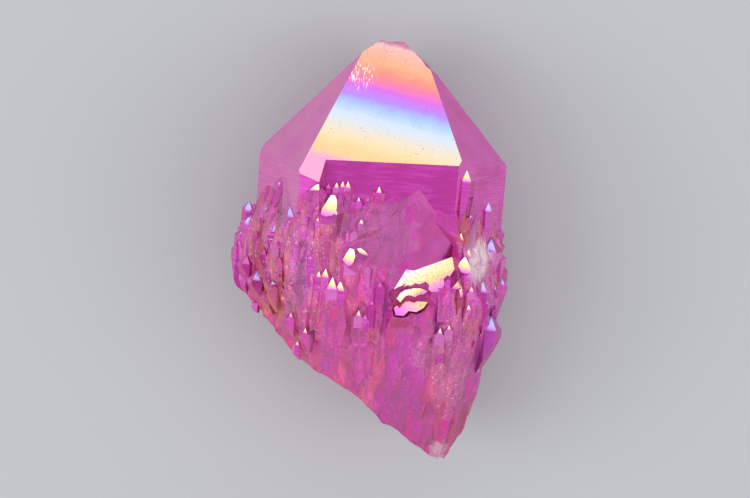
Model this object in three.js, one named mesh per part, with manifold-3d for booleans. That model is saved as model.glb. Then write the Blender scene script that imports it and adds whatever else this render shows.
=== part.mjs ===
// Quartz point with a faceted tip, an overgrown body of small parallel crystals
// and a broken lower end. Millimetres. The specimen lies on its back prism face:
// +Y runs along the crystal towards the tip, +Z is up, +X is to the right.
import * as THREE from 'three';
import { ConvexGeometry } from 'three/addons/geometries/ConvexGeometry.js';
import { LoftGeometry } from 'three/addons/geometries/LoftGeometry.js';
import { SimplexNoise } from 'three/addons/math/SimplexNoise.js';
import { mergeVertices } from 'three/addons/utils/BufferGeometryUtils.js';
import Module from 'manifold-3d';

const wasm = await Module();
wasm.setup();

// ---------------------------------------------------------------- driving sizes
// Everything is laid out about the long axis of the main crystal, with y = 0 at
// its shoulders, and moved onto its resting place at the end.
const WIDTH = 47.2; // across the prism edges at the shoulders
const FRONT_FACE = 10.5; // axis to the front prism face
const FRONT_TURN = 1.4; // degrees that the front prism face is turned to the right
const BACK_FACE = 20.0; // axis to the face that the crystal rests on
const RIGHT_SHOULDER = { y: -0.5, z: -3.5 }; // where the right prism edge starts
const LEFT_SHOULDER = { y: -1.0, z: -4.4 }; // where the left prism edge starts
const TIP_LEAN = 51.8; // degrees between a tip face's normal and the long axis
const RIGHT_TURN = 55; // degrees from the front face to the face on its right
const LEFT_TURN = -57.5; // degrees from the front face to the face on its left
const MAIN_END_Y = -36; // the main prism runs this far down inside the body
const TAPER_FROM_Y = -12; // its side faces draw in from here, into the body
const TAPER = 6; // degrees that they draw in by
const REST_TRIM = 0.4; // stone cut away under the resting face
const WELD = 1e-4; // vertices closer than this are one

const DROP_PER_DEPTH = Math.tan(THREE.MathUtils.degToRad(TIP_LEAN));
const HALF_WIDTH = WIDTH / 2;

// Repeatable random numbers, so that every build is the same crystal.
function makeRandom(seed) {
  let state = seed;
  return () => {
    state = (state * 1664525 + 1013904223) % 4294967296;
    return state / 4294967296;
  };
}

const grain = new SimplexNoise({ random: makeRandom(7) });

// ---------------------------------------------------------------- solids
function toSolid(source) {
  const points = new THREE.BufferGeometry();
  points.setAttribute('position', source.attributes.position);
  points.setIndex(source.index);
  const merged = mergeVertices(points, WELD);
  return new wasm.Manifold(new wasm.Mesh({
    numProp: 3,
    vertProperties: new Float32Array(merged.attributes.position.array),
    triVerts: new Uint32Array(merged.index.array),
  }));
}

function toGeometry(solid) {
  const mesh = solid.getMesh();
  const geometry = new THREE.BufferGeometry();
  geometry.setAttribute('position', new THREE.BufferAttribute(mesh.vertProperties, 3));
  geometry.setIndex(new THREE.BufferAttribute(mesh.triVerts, 1));
  geometry.computeVertexNormals();
  return geometry;
}

// A plane keeps what lies on the side that its normal points away from.
function plane(normal, point) {
  const unit = normal.clone().normalize();
  return { normal: unit, reach: unit.dot(point) };
}

// A face parallel to the long axis, turned about it from the front, through a point.
function prismFace(turn, point) {
  const angle = THREE.MathUtils.degToRad(turn);
  return plane(new THREE.Vector3(Math.sin(angle), 0, Math.cos(angle)), point);
}

// A tip face, turned about the long axis from the front, through a given point.
function tipFace(turn, point, lean = TIP_LEAN) {
  const angle = THREE.MathUtils.degToRad(turn);
  const tilt = THREE.MathUtils.degToRad(lean);
  const outward = Math.sin(tilt);
  const normal = new THREE.Vector3(
    outward * Math.sin(angle), Math.cos(tilt), outward * Math.cos(angle));
  return plane(normal, point);
}

// The corner where three planes meet, or null where two of them are parallel.
function corner(a, b, c) {
  const bc = b.normal.clone().cross(c.normal);
  const volume = a.normal.dot(bc);
  if (Math.abs(volume) < 1e-6) return null;
  const ca = c.normal.clone().cross(a.normal);
  const ab = a.normal.clone().cross(b.normal);
  return bc.multiplyScalar(a.reach)
    .addScaledVector(ca, b.reach)
    .addScaledVector(ab, c.reach)
    .divideScalar(volume);
}

// The flat-faced solid that lies behind all the planes of a list.
function facetedSolid(planes) {
  const corners = [];
  for (let i = 0; i < planes.length; i += 1) {
    for (let j = i + 1; j < planes.length; j += 1) {
      for (let k = j + 1; k < planes.length; k += 1) {
        const point = corner(planes[i], planes[j], planes[k]);
        const inside = point && planes.every((p) => p.normal.dot(point) < p.reach + 1e-5);
        const fresh = inside && corners.every((other) => other.distanceTo(point) > 1e-3);
        if (fresh) corners.push(point);
      }
    }
  }
  return toSolid(new ConvexGeometry(corners));
}

function vec(x, y, z) {
  return new THREE.Vector3(x, y, z);
}

// ---------------------------------------------------------------- main crystal
// The front tip face is the large one: it was pushed in, so it cuts across the
// others and reaches the ridge at the very top.
const FRONT_TIP_AT = vec(6.8, 17.7, RIGHT_SHOULDER.z);
const BACK_TIP_AT = vec(0, 21.4, -6.2);
const ROUNDED_SHOULDER_LEAN = 72; // a narrow steep face softens the left shoulder
const ROUNDED_SHOULDER_IN = 0.55; // how far that face lies inside the prism edge

// A prism face that draws in on its way down, so that it ends inside the body.
function taperFace(turn, edge) {
  const lean = 90 + TAPER;
  return tipFace(turn, vec(edge.x, TAPER_FROM_Y, edge.z), lean);
}

function mainFaces() {
  const right = vec(HALF_WIDTH, RIGHT_SHOULDER.y, RIGHT_SHOULDER.z);
  const left = vec(-HALF_WIDTH, LEFT_SHOULDER.y, LEFT_SHOULDER.z);
  const leftInside = left.clone().add(vec(ROUNDED_SHOULDER_IN, 0, 0));
  return [
    prismFace(FRONT_TURN, vec(0, 0, FRONT_FACE)),
    prismFace(RIGHT_TURN, right),
    prismFace(LEFT_TURN, left),
    prismFace(120, right),
    prismFace(-120, left),
    prismFace(180, vec(0, 0, -BACK_FACE - REST_TRIM)),
    tipFace(0, FRONT_TIP_AT),
    tipFace(60, right),
    tipFace(-60, left),
    tipFace(120, right),
    tipFace(-120, left),
    tipFace(180, BACK_TIP_AT),
    tipFace(-60, leftInside, ROUNDED_SHOULDER_LEAN),
    taperFace(60, right),
    taperFace(120, right),
    taperFace(-60, left),
    taperFace(-120, left),
    plane(vec(0, -1, 0), vec(0, MAIN_END_Y, 0)),
  ];
}

// The front tip face runs on below its edge at the left, over a rib of its own.
const LOBE_LEFT = vec(-15, 0, 12.9); // left edge of the rib
const LOBE_TURN = -14; // degrees that the rib's front is turned to the left
const LOBE_RIGHT_X = -10.5;
const LOBE_GROOVE = vec(-18.2, 0, 8); // a groove parts the rib from the flank
const LOBE_FOOT = vec(-15, -7.5, 12.9); // the rib starts to slant back into the body here
const LOBE_FOOT_FACING = vec(0, -0.26, 0.97);
const LOBE_BACK_Z = 2; // it ends at this depth, inside the main crystal

function shoulderLobe() {
  const left = vec(-HALF_WIDTH, LEFT_SHOULDER.y, LEFT_SHOULDER.z);
  return facetedSolid([
    tipFace(0, FRONT_TIP_AT),
    tipFace(-60, left),
    prismFace(LOBE_TURN, LOBE_LEFT),
    prismFace(LEFT_TURN, LOBE_LEFT),
    prismFace(75, vec(LOBE_RIGHT_X, 0, FRONT_FACE)),
    prismFace(-102, LOBE_GROOVE),
    plane(vec(0, 0, -1), vec(0, 0, LOBE_BACK_Z)),
    plane(LOBE_FOOT_FACING, LOBE_FOOT),
    plane(vec(0, -1, 0), vec(0, MAIN_END_Y, 0)),
  ]);
}

// The depth of the main crystal's front surface at a place seen from the front.
const FRONT_FACES = mainFaces().filter((face) => face.normal.z > 0.05);

function mainDepth(x, y) {
  const depths = FRONT_FACES.map(({ normal, reach }) => (
    (reach - normal.x * x - normal.y * y) / normal.z));
  return Math.min(...depths);
}

// ---------------------------------------------------------------- body
// Stations down the body. Each is a six-sided section: left and right edges,
// the front face between frontLeft and frontRight, and the back face.
const STATIONS = [
  { y: 3, left: -19, frontLeft: -11, frontRight: 11, right: 19, front: 6.4, back: -16.5 },
  { y: -3, left: -21.6, frontLeft: -13, frontRight: 13, right: 21.8, front: 9.4, back: -19.4 },
  { y: -7, left: -22.2, frontLeft: -14.2, frontRight: 14.2, right: 22.5, front: 10.8, back: -20.4 },
  { y: -12, left: -24.2, frontLeft: -15.5, frontRight: 15, right: 23.1, front: 12.2, back: -20.7 },
  { y: -16, left: -26.2, frontLeft: -16.5, frontRight: 16.5, right: 24.1, front: 13.2, back: -20.8 },
  { y: -20, left: -26.8, frontLeft: -16.5, frontRight: 18.2, right: 24.8, front: 14.1, back: -20.8 },
  { y: -24, left: -26.3, frontLeft: -15.5, frontRight: 19.3, right: 25.2, front: 14.7, back: -20.8 },
  { y: -28, left: -25.8, frontLeft: -14, frontRight: 19.6, right: 24.7, front: 14.5, back: -20.6 },
  { y: -34, left: -23.6, frontLeft: -12.5, frontRight: 19, right: 23.5, front: 13.2, back: -20.2 },
  { y: -40, left: -21, frontLeft: -10, frontRight: 18, right: 22.8, front: 11.2, back: -19.0 },
  { y: -46, left: -18, frontLeft: -5, frontRight: 17.5, right: 22.2, front: 8.7, back: -16.8 },
  { y: -52, left: -14, frontLeft: 0, frontRight: 16.3, right: 20.4, front: 5.6, back: -13.5 },
  { y: -57, left: -8, frontLeft: 6, frontRight: 15.3, right: 17.6, front: 2.2, back: -10 },
  { y: -60, left: -4, frontLeft: 9, frontRight: 14.4, right: 15.6, front: 0, back: -8 },
];
const EDGE_DEPTH = -3; // depth of the body's left and right edges
const FRONT_RISE = 0.6; // the front's left edge stands out by this ...
const FRONT_FALL = 1.0; // ... and its right edge lies back by this
const BACK_SHARE = 0.28; // half of the back face's width, as a share of the body's
const FACE_STEPS = [14, 7, 6, 6, 6, 7]; // ribs on the front face, then round the body
const RING_GAP = 2.6; // distance between the rings of the body's skin
const RIB_DEPTH = 0.5;
const RIB_WANDER = 0.9; // how much each rib's height drifts, as a share of its depth
const RIB_HACKLE = 0.5; // the same for the finer breaks along it
const RIB_SLIDE = 0.28; // how far a rib drifts sideways, as a share of its width

function station(y) {
  const last = STATIONS.length - 1;
  let i = 0;
  while (i < last - 1 && STATIONS[i + 1].y > y) i += 1;
  const a = STATIONS[i];
  const b = STATIONS[i + 1];
  const t = THREE.MathUtils.clamp((a.y - y) / (a.y - b.y), 0, 1);
  const mixed = {};
  for (const name of Object.keys(a)) mixed[name] = THREE.MathUtils.lerp(a[name], b[name], t);
  return mixed;
}

// The depth of the body's front surface at a place seen from the front.
function skinDepth(x, y) {
  const s = station(y);
  const { inverseLerp, lerp, clamp } = THREE.MathUtils;
  const leftDepth = s.front + FRONT_RISE;
  const rightDepth = s.front - FRONT_FALL;
  if (x < s.frontLeft) {
    return lerp(EDGE_DEPTH, leftDepth, clamp(inverseLerp(s.left, s.frontLeft, x), 0, 1));
  }
  if (x > s.frontRight) {
    return lerp(EDGE_DEPTH, rightDepth, clamp(inverseLerp(s.right, s.frontRight, x), 0, 1));
  }
  return lerp(leftDepth, rightDepth, inverseLerp(s.frontLeft, s.frontRight, x));
}

// The six corners of the body's outline at one height.
function bodyCorners(y) {
  const s = station(y);
  const middle = (s.left + s.right) / 2;
  const backHalf = (s.right - s.left) * BACK_SHARE;
  return [
    vec(s.frontLeft, y, s.front + FRONT_RISE),
    vec(s.frontRight, y, s.front - FRONT_FALL),
    vec(s.right, y, EDGE_DEPTH),
    vec(middle + backHalf, y, s.back),
    vec(middle - backHalf, y, s.back),
    vec(s.left, y, EDGE_DEPTH),
  ];
}

// How far a point stands out beyond the body's outline at height y, and the
// direction in which it does.
function skinBelow(point, y) {
  const corners = bodyCorners(y);
  let nearest = { gap: -Infinity, outward: null };
  corners.forEach((start, side) => {
    const along = corners[(side + 1) % corners.length].clone().sub(start);
    const outward = vec(-along.z, 0, along.x).normalize();
    const gap = outward.dot(point.clone().sub(start));
    if (gap > nearest.gap) nearest = { gap, outward };
  });
  return nearest;
}

// The outline broken up into ribs that wander a little from ring to ring.
function bodyRing(y) {
  const corners = bodyCorners(y);
  const ring = [];
  corners.forEach((start, side) => {
    const end = corners[(side + 1) % corners.length];
    const along = end.clone().sub(start);
    const outward = vec(-along.z, 0, along.x).normalize();
    for (let step = 0; step < FACE_STEPS[side]; step += 1) {
      const number = ring.length;
      const groove = number % 2 === 0 ? 0.4 : -1;
      const wander = grain.noise(number * 0.9, y * 0.09);
      const hackle = grain.noise(number * 3.1, y * 0.55);
      const push = RIB_DEPTH * (groove + RIB_WANDER * wander + RIB_HACKLE * hackle);
      const slide = step > 0 ? RIB_SLIDE * grain.noise(number * 1.7 + 40, y * 0.12) : 0;
      const t = (step + slide) / FACE_STEPS[side];
      ring.push(start.clone().addScaledVector(along, t).addScaledVector(outward, push));
    }
  });
  return ring;
}

function bodySolid() {
  const bottom = STATIONS[STATIONS.length - 1].y;
  const top = STATIONS[0].y;
  const rings = Math.round((top - bottom) / RING_GAP);
  const sections = [];
  for (let i = 0; i <= rings; i += 1) {
    sections.push(bodyRing(THREE.MathUtils.lerp(bottom, top, i / rings)));
  }
  return toSolid(new LoftGeometry(sections, { capStart: true, capEnd: true }));
}

// ---------------------------------------------------------------- small crystals
// A small crystal parallel to the main one. Its tip lies at `tip`; its front tip
// face comes down by `drop` over a front prism face `wide` across. Its foot slants
// back and has sunk to the body's outline once it is `runs` down.
const FOOT_START = 0.35; // share of the run where the foot begins to slant
const FOOT_END = 1.15; // share of the run at which the crystal ends, inside the body

function smallCrystal({ tip, wide, drop, runs, skew = 0 }) {
  const front = drop / DROP_PER_DEPTH;
  const side = Math.sin(Math.PI / 3) * (wide / 2) + 0.5 * front;
  const at = (facing, distance) => {
    const face = prismFace(facing, tip);
    face.reach += distance;
    return face;
  };
  const lowered = vec(tip.x, tip.y - Math.abs(skew), tip.z);
  const { gap, outward } = skinBelow(tip, tip.y - runs);
  const footFrom = Math.max(runs * FOOT_START, drop);
  const footStart = tip.clone().addScaledVector(outward, front);
  footStart.y -= footFrom;
  const foot = outward.clone().multiplyScalar(runs - footFrom);
  foot.y = -(front + Math.max(gap, 0));
  return facetedSolid([
    at(0, front),
    at(60, side),
    at(-60, side),
    at(120, side),
    at(-120, side),
    at(180, side),
    tipFace(0, tip),
    tipFace(60, skew > 0 ? lowered : tip),
    tipFace(-60, skew < 0 ? lowered : tip),
    tipFace(120, tip),
    tipFace(-120, tip),
    tipFace(180, tip),
    plane(foot, footStart),
    plane(vec(0, -1, 0), vec(tip.x, tip.y - runs * FOOT_END, tip.z)),
  ]);
}

// Crystals on the front: x and y of the tip, width and drop of the bright tip
// face, how far the prism below it runs, how far it stands out beyond the skin
// and a skew that lowers one side of the tip.
const FRONT_CRYSTALS = [
  // left flank
  { x: -24.9, y: -11.2, wide: 0.8, drop: 1.9, runs: 9 },
  { x: -21.1, y: -9.9, wide: 1.3, drop: 2.1, runs: 10, skew: -0.5 },
  { x: -21.9, y: -12.3, wide: 0.9, drop: 1.0, runs: 5 },
  { x: -16.5, y: -9.8, wide: 1.6, drop: 2.0, runs: 13, skew: -0.7 },
  { x: -24.4, y: -13.2, wide: 1.6, drop: 2.4, runs: 12 },
  { x: -25.8, y: -16.6, wide: 0.7, drop: 0.9, runs: 5 },
  { x: -22.8, y: -15.9, wide: 0.8, drop: 0.8, runs: 6 },
  { x: -18.4, y: -16.3, wide: 1.0, drop: 1.2, runs: 7 },
  { x: -14.6, y: -15.2, wide: 1.3, drop: 0.9, runs: 9 },
  { x: -18.4, y: -23.8, wide: 1.6, drop: 0.9, runs: 9, lift: 0.5 },
  { x: -17.6, y: -19.3, wide: 1.3, drop: 0.7, runs: 5 },
  { x: -19.6, y: -20.9, wide: 1.0, drop: 1.4, runs: 8 },
  { x: -21.9, y: -28.9, wide: 0.8, drop: 0.9, runs: 7 },
  { x: -14.7, y: -29.0, wide: 1.4, drop: 0.8, runs: 8 },
  { x: -11.8, y: -31.6, wide: 1.4, drop: 0.8, runs: 7 },
  { x: -13.1, y: -34.4, wide: 0.9, drop: 0.8, runs: 7 },
  // under the front face
  { x: -11.6, y: -4.6, wide: 2.2, drop: 1.6, runs: 6, lift: 0.9 },
  { x: -9.7, y: -4.8, wide: 0.9, drop: 0.8, runs: 5 },
  { x: -8.2, y: -4.5, wide: 1.2, drop: 0.9, runs: 5 },
  { x: -7.1, y: -4.2, wide: 1.2, drop: 1.0, runs: 6 },
  { x: -6.1, y: -4.1, wide: 1.2, drop: 1.1, runs: 5 },
  { x: -9.1, y: -6.6, wide: 2.9, drop: 3.5, runs: 15, skew: -0.8 },
  { x: -0.3, y: -4.6, wide: 1.2, drop: 1.1, runs: 5 },
  { x: -3.9, y: -6.9, wide: 1.4, drop: 0.7, runs: 6 },
  { x: -2.2, y: -6.7, wide: 1.2, drop: 0.7, runs: 6 },
  { x: -4.9, y: -7.5, wide: 0.9, drop: 0.8, runs: 4 },
  { x: -1.7, y: -8.1, wide: 1.1, drop: 1.0, runs: 8 },
  { x: -3.1, y: -10.7, wide: 1.0, drop: 0.9, runs: 9 },
  { x: -4.2, y: -12.4, wide: 1.4, drop: 0.7, runs: 7 },
  { x: -11.1, y: -11.0, wide: 0.9, drop: 0.6, runs: 5, lift: 0.8 },
  // middle
  { x: -4.5, y: -16.1, wide: 2.2, drop: 2.6, runs: 14 },
  { x: -2.7, y: -16.0, wide: 1.7, drop: 1.2, runs: 12 },
  { x: -10.1, y: -20.7, wide: 1.3, drop: 1.0, runs: 10 },
  { x: -8.9, y: -20.1, wide: 1.3, drop: 1.5, runs: 12 },
  { x: -7.5, y: -21.5, wide: 2.0, drop: 2.1, runs: 12 },
  { x: -6.0, y: -22.0, wide: 1.8, drop: 1.8, runs: 13 },
  { x: -2.2, y: -27.4, wide: 1.6, drop: 0.9, runs: 9 },
  { x: -0.9, y: -28.0, wide: 1.4, drop: 0.8, runs: 9 },
  { x: 1.3, y: -21.8, wide: 1.2, drop: 0.8, runs: 12 },
  { x: 0.1, y: -25.4, wide: 1.1, drop: 0.6, runs: 14 },
  // right flank
  { x: 15.7, y: -0.6, wide: 1.5, drop: 2.0, runs: 12 },
  { x: 20.6, y: -7.2, wide: 0.9, drop: 1.7, runs: 10 },
  { x: 23.0, y: -14.0, wide: 1.5, drop: 1.8, runs: 5 },
  { x: 23.0, y: -15.8, wide: 2.0, drop: 2.1, runs: 12 },
  { x: 16.6, y: -15.9, wide: 2.4, drop: 2.8, runs: 13 },
  { x: 15.6, y: -20.2, wide: 1.6, drop: 1.7, runs: 12 },
  { x: 18.2, y: -21.4, wide: 1.4, drop: 0.9, runs: 7 },
  { x: 19.0, y: -22.7, wide: 1.2, drop: 0.8, runs: 6 },
  { x: 21.2, y: -24.0, wide: 1.1, drop: 1.1, runs: 6 },
  { x: 21.9, y: -23.0, wide: 1.0, drop: 1.0, runs: 6 },
  { x: 24.6, y: -22.0, wide: 1.2, drop: 1.2, runs: 7 },
  { x: 23.5, y: -26.7, wide: 0.9, drop: 0.9, runs: 6, lift: -0.6 },
  // terraces under the ledge
  { x: 10.9, y: -18.9, wide: 2.3, drop: 2.9, runs: 10, lift: -1.2 },
  { x: 6.4, y: -21.6, wide: 3.8, drop: 1.6, runs: 8, lift: -0.3 },
  { x: 5.7, y: -23.6, wide: 3.0, drop: 2.7, runs: 9 },
  { x: 9.3, y: -22.5, wide: 2.7, drop: 3.0, runs: 9, lift: -0.3 },
  // lower right
  { x: 14.7, y: -29.0, wide: 1.6, drop: 0.7, runs: 8 },
  { x: 13.1, y: -29.7, wide: 1.8, drop: 0.9, runs: 9 },
  { x: 13.7, y: -33.5, wide: 1.1, drop: 0.7, runs: 8 },
];

function frontDepth(x, y) {
  return Math.max(skinDepth(x, y), y > TAPER_FROM_Y ? mainDepth(x, y) : -Infinity);
}

function frontCrystals() {
  return FRONT_CRYSTALS.map(({ x, y, lift = 0, ...shape }) => {
    const tip = vec(x, y, frontDepth(x, y) + lift);
    return smallCrystal({ tip, ...shape });
  });
}

// Crystals down the two flanks and the back edges, more crowded towards the
// widest part of the body.
const FLANK_ROWS = [
  { count: 18, turn: 78, from: -6, to: -30, seed: 11 },
  { count: 20, turn: -76, from: -5, to: -26, seed: 23 },
  { count: 15, turn: 122, from: -4, to: -32, seed: 31 },
  { count: 15, turn: -122, from: -4, to: -28, seed: 47 },
];
const FLANK_SPREAD = 26; // degrees to either side of a row's direction

// Where a ray from the body's middle, turned from the front, leaves its outline.
function flankPoint(turn, y) {
  const corners = bodyCorners(y);
  const middle = (corners[2].x + corners[5].x) / 2;
  const angle = THREE.MathUtils.degToRad(turn);
  const direction = vec(Math.sin(angle), 0, Math.cos(angle));
  let reach = Infinity;
  corners.forEach((start, side) => {
    const along = corners[(side + 1) % corners.length].clone().sub(start);
    const outward = vec(-along.z, 0, along.x).normalize();
    const facing = outward.dot(direction);
    const gap = outward.dot(start) - outward.x * middle;
    if (facing > 1e-3) reach = Math.min(reach, gap / facing);
  });
  return vec(middle, y, 0).addScaledVector(direction, reach);
}

function flankCrystals() {
  const crystals = [];
  for (const row of FLANK_ROWS) {
    const random = makeRandom(row.seed);
    for (let i = 0; i < row.count; i += 1) {
      const along = (i + random()) / row.count;
      const y = THREE.MathUtils.lerp(row.from, row.to, along);
      const turn = row.turn + FLANK_SPREAD * (2 * random() - 1);
      const size = 0.7 + 1.6 * random() ** 2;
      crystals.push(smallCrystal({
        tip: flankPoint(turn, y),
        wide: size * (0.9 + 0.6 * random()),
        drop: size * 1.25,
        runs: size * (4 + 3 * random()),
        skew: (random() - 0.5) * size * 0.6,
      }));
    }
  }
  return crystals;
}

// ---------------------------------------------------------------- cuts
// The broken pyramid in the middle of the front and the bright ledge under it.
const PYRAMID_TOP = vec(7.0, -6.3, 11.9);
const PYRAMID_FOOT = vec(7.3, -17.0, 11.6);
const PYRAMID_LEFT = vec(-2.0, -14.1, 11.2);
const LEDGE_LEFT_TOP = vec(6.5, -18.6, 10.7);
const LEDGE_LEFT_FOOT = vec(3.5, -23.5, 14.6);
const LEDGE_RIGHT_TOP = vec(15.0, -16.5, 9.1);
const LEDGE_RIGHT_X = 15.4;
const RIM_RIGHT = vec(15.0, -18.6, 10.7); // the ledge's right end, at its lower rim
const GROOVE_LEFT_FACING = vec(-0.79, 0, -0.61);
const GROOVE_RIGHT_FACING = vec(0.95, 0, -0.32);
const GROOVE_FOOT = vec(15.0, -25, 10.7);
const GROOVE_FOOT_FACING = vec(0, -0.8, -0.6);
const STEP_LEFT_FACING = vec(-0.48, 0.56, -0.68); // steps above the pyramid's two faces
const STEP_RIGHT_FACING = vec(0.45, 0.59, -0.66);
const CUT_OVERLAP = 0.4; // the two halves of the pyramid's cut overlap by this
const OUTSIDE_Z = 30; // in front of the whole crystal

function through(a, b, c) {
  const normal = b.clone().sub(a).cross(c.clone().sub(a)).normalize();
  if (normal.z > 0) normal.negate();
  return plane(normal, a);
}

function ledgeCuts() {
  const ledge = tipFace(0, LEDGE_LEFT_TOP);
  const overLedge = { normal: ledge.normal.clone().negate(), reach: -ledge.reach };
  const outside = plane(vec(0, 0, 1), vec(0, 0, OUTSIDE_Z));
  const leftWall = through(PYRAMID_TOP, PYRAMID_FOOT, PYRAMID_LEFT);
  const lowerWall = through(LEDGE_LEFT_TOP, LEDGE_LEFT_FOOT, PYRAMID_LEFT);
  const rightWall = through(PYRAMID_TOP, PYRAMID_FOOT, LEDGE_RIGHT_TOP);
  const end = plane(vec(1, 0, -0.25), vec(LEDGE_RIGHT_X, 0, LEDGE_RIGHT_TOP.z));
  return [
    facetedSolid([overLedge, leftWall, lowerWall, outside,
      plane(STEP_LEFT_FACING, PYRAMID_TOP),
      plane(vec(1, 0, 0), vec(PYRAMID_TOP.x + CUT_OVERLAP, 0, 0))]),
    facetedSolid([overLedge, rightWall, lowerWall, end, outside,
      plane(STEP_RIGHT_FACING, PYRAMID_TOP),
      plane(vec(-1, 0, 0), vec(PYRAMID_TOP.x - CUT_OVERLAP, 0, 0))]),
    // the groove between the ledge and the crystals on its right
    facetedSolid([outside,
      plane(GROOVE_LEFT_FACING, RIM_RIGHT),
      plane(GROOVE_RIGHT_FACING, RIM_RIGHT),
      plane(vec(0, 1, 0), vec(0, LEDGE_RIGHT_TOP.y, 0)),
      plane(GROOVE_FOOT_FACING, GROOVE_FOOT)]),
  ];
}

const FINE_SHARE = 0.45; // the finer half of a rough face's height

// A block with one rough face, used to break stone away. The rough face is the
// block's bottom; it passes through `at` and looks along `facing`.
function roughBlock({ at, facing, size, cell, rough, scale, seed }) {
  const steps = Math.round(size / cell);
  const geometry = new THREE.BoxGeometry(size, size, size, steps, steps, 1);
  const position = geometry.attributes.position;
  const noise = new SimplexNoise({ random: makeRandom(seed) });
  for (let i = 0; i < position.count; i += 1) {
    if (position.getZ(i) < 0) {
      const x = position.getX(i);
      const y = position.getY(i);
      const broad = noise.noise(x * scale, y * scale);
      const fine = noise.noise(x * scale * 2.7 + 9, y * scale * 2.7);
      position.setZ(i, rough * (broad + FINE_SHARE * fine));
    } else {
      position.setZ(i, size);
    }
  }
  const turn = new THREE.Quaternion().setFromUnitVectors(vec(0, 0, 1), facing.clone().normalize());
  geometry.applyQuaternion(turn);
  geometry.translate(at.x, at.y, at.z);
  return toSolid(geometry);
}

const SCOOP_STEPS = 84; // facets round the sphere that takes a scoop out

// A shallow round scoop, as glassy stone breaks, `depth` deep at `at`.
function scoop({ at, facing, radius, depth }) {
  const geometry = new THREE.SphereGeometry(radius, SCOOP_STEPS, SCOOP_STEPS / 2);
  const centre = at.clone().addScaledVector(facing.clone().normalize(), radius - depth);
  geometry.translate(centre.x, centre.y, centre.z);
  return toSolid(geometry);
}

const FRACTURES = [
  { at: vec(-12.9, -38.2, 9), facing: vec(-0.63, -0.777, 0), size: 84, cell: 3.2,
    rough: 0.8, scale: 0.13, seed: 5 },
  { at: vec(3.9, -50.1, 7), facing: vec(-0.577, -0.817, 0), size: 84, cell: 3.2,
    rough: 0.5, scale: 0.12, seed: 15 },
];
const SCOOPS = [
  { at: vec(-4.5, -44.1, 5), facing: vec(-0.577, -0.817, 0), radius: 37, depth: 1.5 },
];
const WORN_TIP = [
  { at: vec(0.2, 21.0, -5.6), facing: vec(-0.05, 1, 0.15), size: 14, cell: 1.2,
    rough: 0.3, scale: 0.5, seed: 3 },
  { at: vec(4.5, 19.3, -5), facing: vec(0.62, 0.78, 0.1), size: 9, cell: 1.2,
    rough: 0.25, scale: 0.5, seed: 8 },
];

// ---------------------------------------------------------------- assembly
const FAR = 90; // beyond the crystal in every direction

// Everything that lies under the flat face that the crystal rests on.
function restingBlock() {
  return facetedSolid([
    plane(vec(0, 0, 1), vec(0, 0, -BACK_FACE)),
    plane(vec(0, 0, -1), vec(0, 0, -FAR)),
    plane(vec(1, 0, 0), vec(FAR, 0, 0)),
    plane(vec(-1, 0, 0), vec(-FAR, 0, 0)),
    plane(vec(0, 1, 0), vec(0, FAR, 0)),
    plane(vec(0, -1, 0), vec(0, -FAR, 0)),
  ]);
}

function crystalSolid() {
  const grown = wasm.Manifold.union([
    facetedSolid(mainFaces()), shoulderLobe(), bodySolid(),
    ...frontCrystals(), ...flankCrystals(),
  ]);
  const breaks = [...FRACTURES, ...WORN_TIP].map(roughBlock);
  const cuts = [...ledgeCuts(), ...breaks, ...SCOOPS.map(scoop), restingBlock()];
  const broken = cuts.reduce((solid, cut) => solid.subtract(cut), grown);
  const pieces = broken.decompose();
  return pieces.reduce((a, b) => (a.volume() > b.volume() ? a : b));
}

const geometry = toGeometry(crystalSolid());
geometry.computeBoundingBox();
const box = geometry.boundingBox;
geometry.translate(-(box.min.x + box.max.x) / 2, -(box.min.y + box.max.y) / 2, -box.min.z);

const crystal = new THREE.Mesh(geometry, new THREE.MeshStandardMaterial({
  color: 0xc4469c, roughness: 0.18, metalness: 0.0,
}));
crystal.name = 'quartz_crystal';

const specimen = new THREE.Group();
specimen.add(crystal);

export default specimen;
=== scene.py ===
# %% [markdown]
# # Aura quartz specimen
# A hand-sized quartz point that was heated in a vacuum and coated with a film of metal
# atoms. The film is so thin that light waves interfere in it: the growth faces flash
# gold, blue and violet, and the stone under it looks magenta. The specimen is one piece
# of stone, so it is one mesh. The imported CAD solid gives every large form; this script
# adds the fine growth and the finish. All lengths are in metres, written as millimetres
# times MM.

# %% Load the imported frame
import math

import bmesh
import bpy
import numpy as np
from mathutils import Matrix, Vector, noise


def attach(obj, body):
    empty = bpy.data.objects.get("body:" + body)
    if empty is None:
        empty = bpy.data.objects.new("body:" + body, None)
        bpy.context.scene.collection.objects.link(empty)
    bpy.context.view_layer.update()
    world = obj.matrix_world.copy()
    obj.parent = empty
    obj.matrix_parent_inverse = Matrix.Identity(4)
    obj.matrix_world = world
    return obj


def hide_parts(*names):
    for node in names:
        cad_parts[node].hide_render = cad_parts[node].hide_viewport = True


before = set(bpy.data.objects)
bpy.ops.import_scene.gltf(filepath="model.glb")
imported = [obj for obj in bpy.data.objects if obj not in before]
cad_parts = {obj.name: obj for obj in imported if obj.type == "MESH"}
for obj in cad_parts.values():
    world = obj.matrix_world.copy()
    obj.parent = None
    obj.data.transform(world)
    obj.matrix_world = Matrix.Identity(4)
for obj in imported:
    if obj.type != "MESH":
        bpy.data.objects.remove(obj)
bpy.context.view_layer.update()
scene = bpy.context.scene

# %% [markdown]
# ## Small helpers
# Sizes are easiest to read in millimetres and colours as sRGB hex, the way a paint or
# mineral chart gives them. Blender's shaders want linear colours, so one function turns
# them. Crystal directions are given as on a goniometer: a turn about the long axis from
# the front, and the lean of the face's normal from that axis.

# %% Sizes, colours and directions
MM = 0.001
AXIS = Vector((0.972, 18.718, 20.0))  # the crystal's long axis at its shoulders, in mm
TIP_LEAN = 51.8  # degrees between a tip face's normal and the long axis


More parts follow.
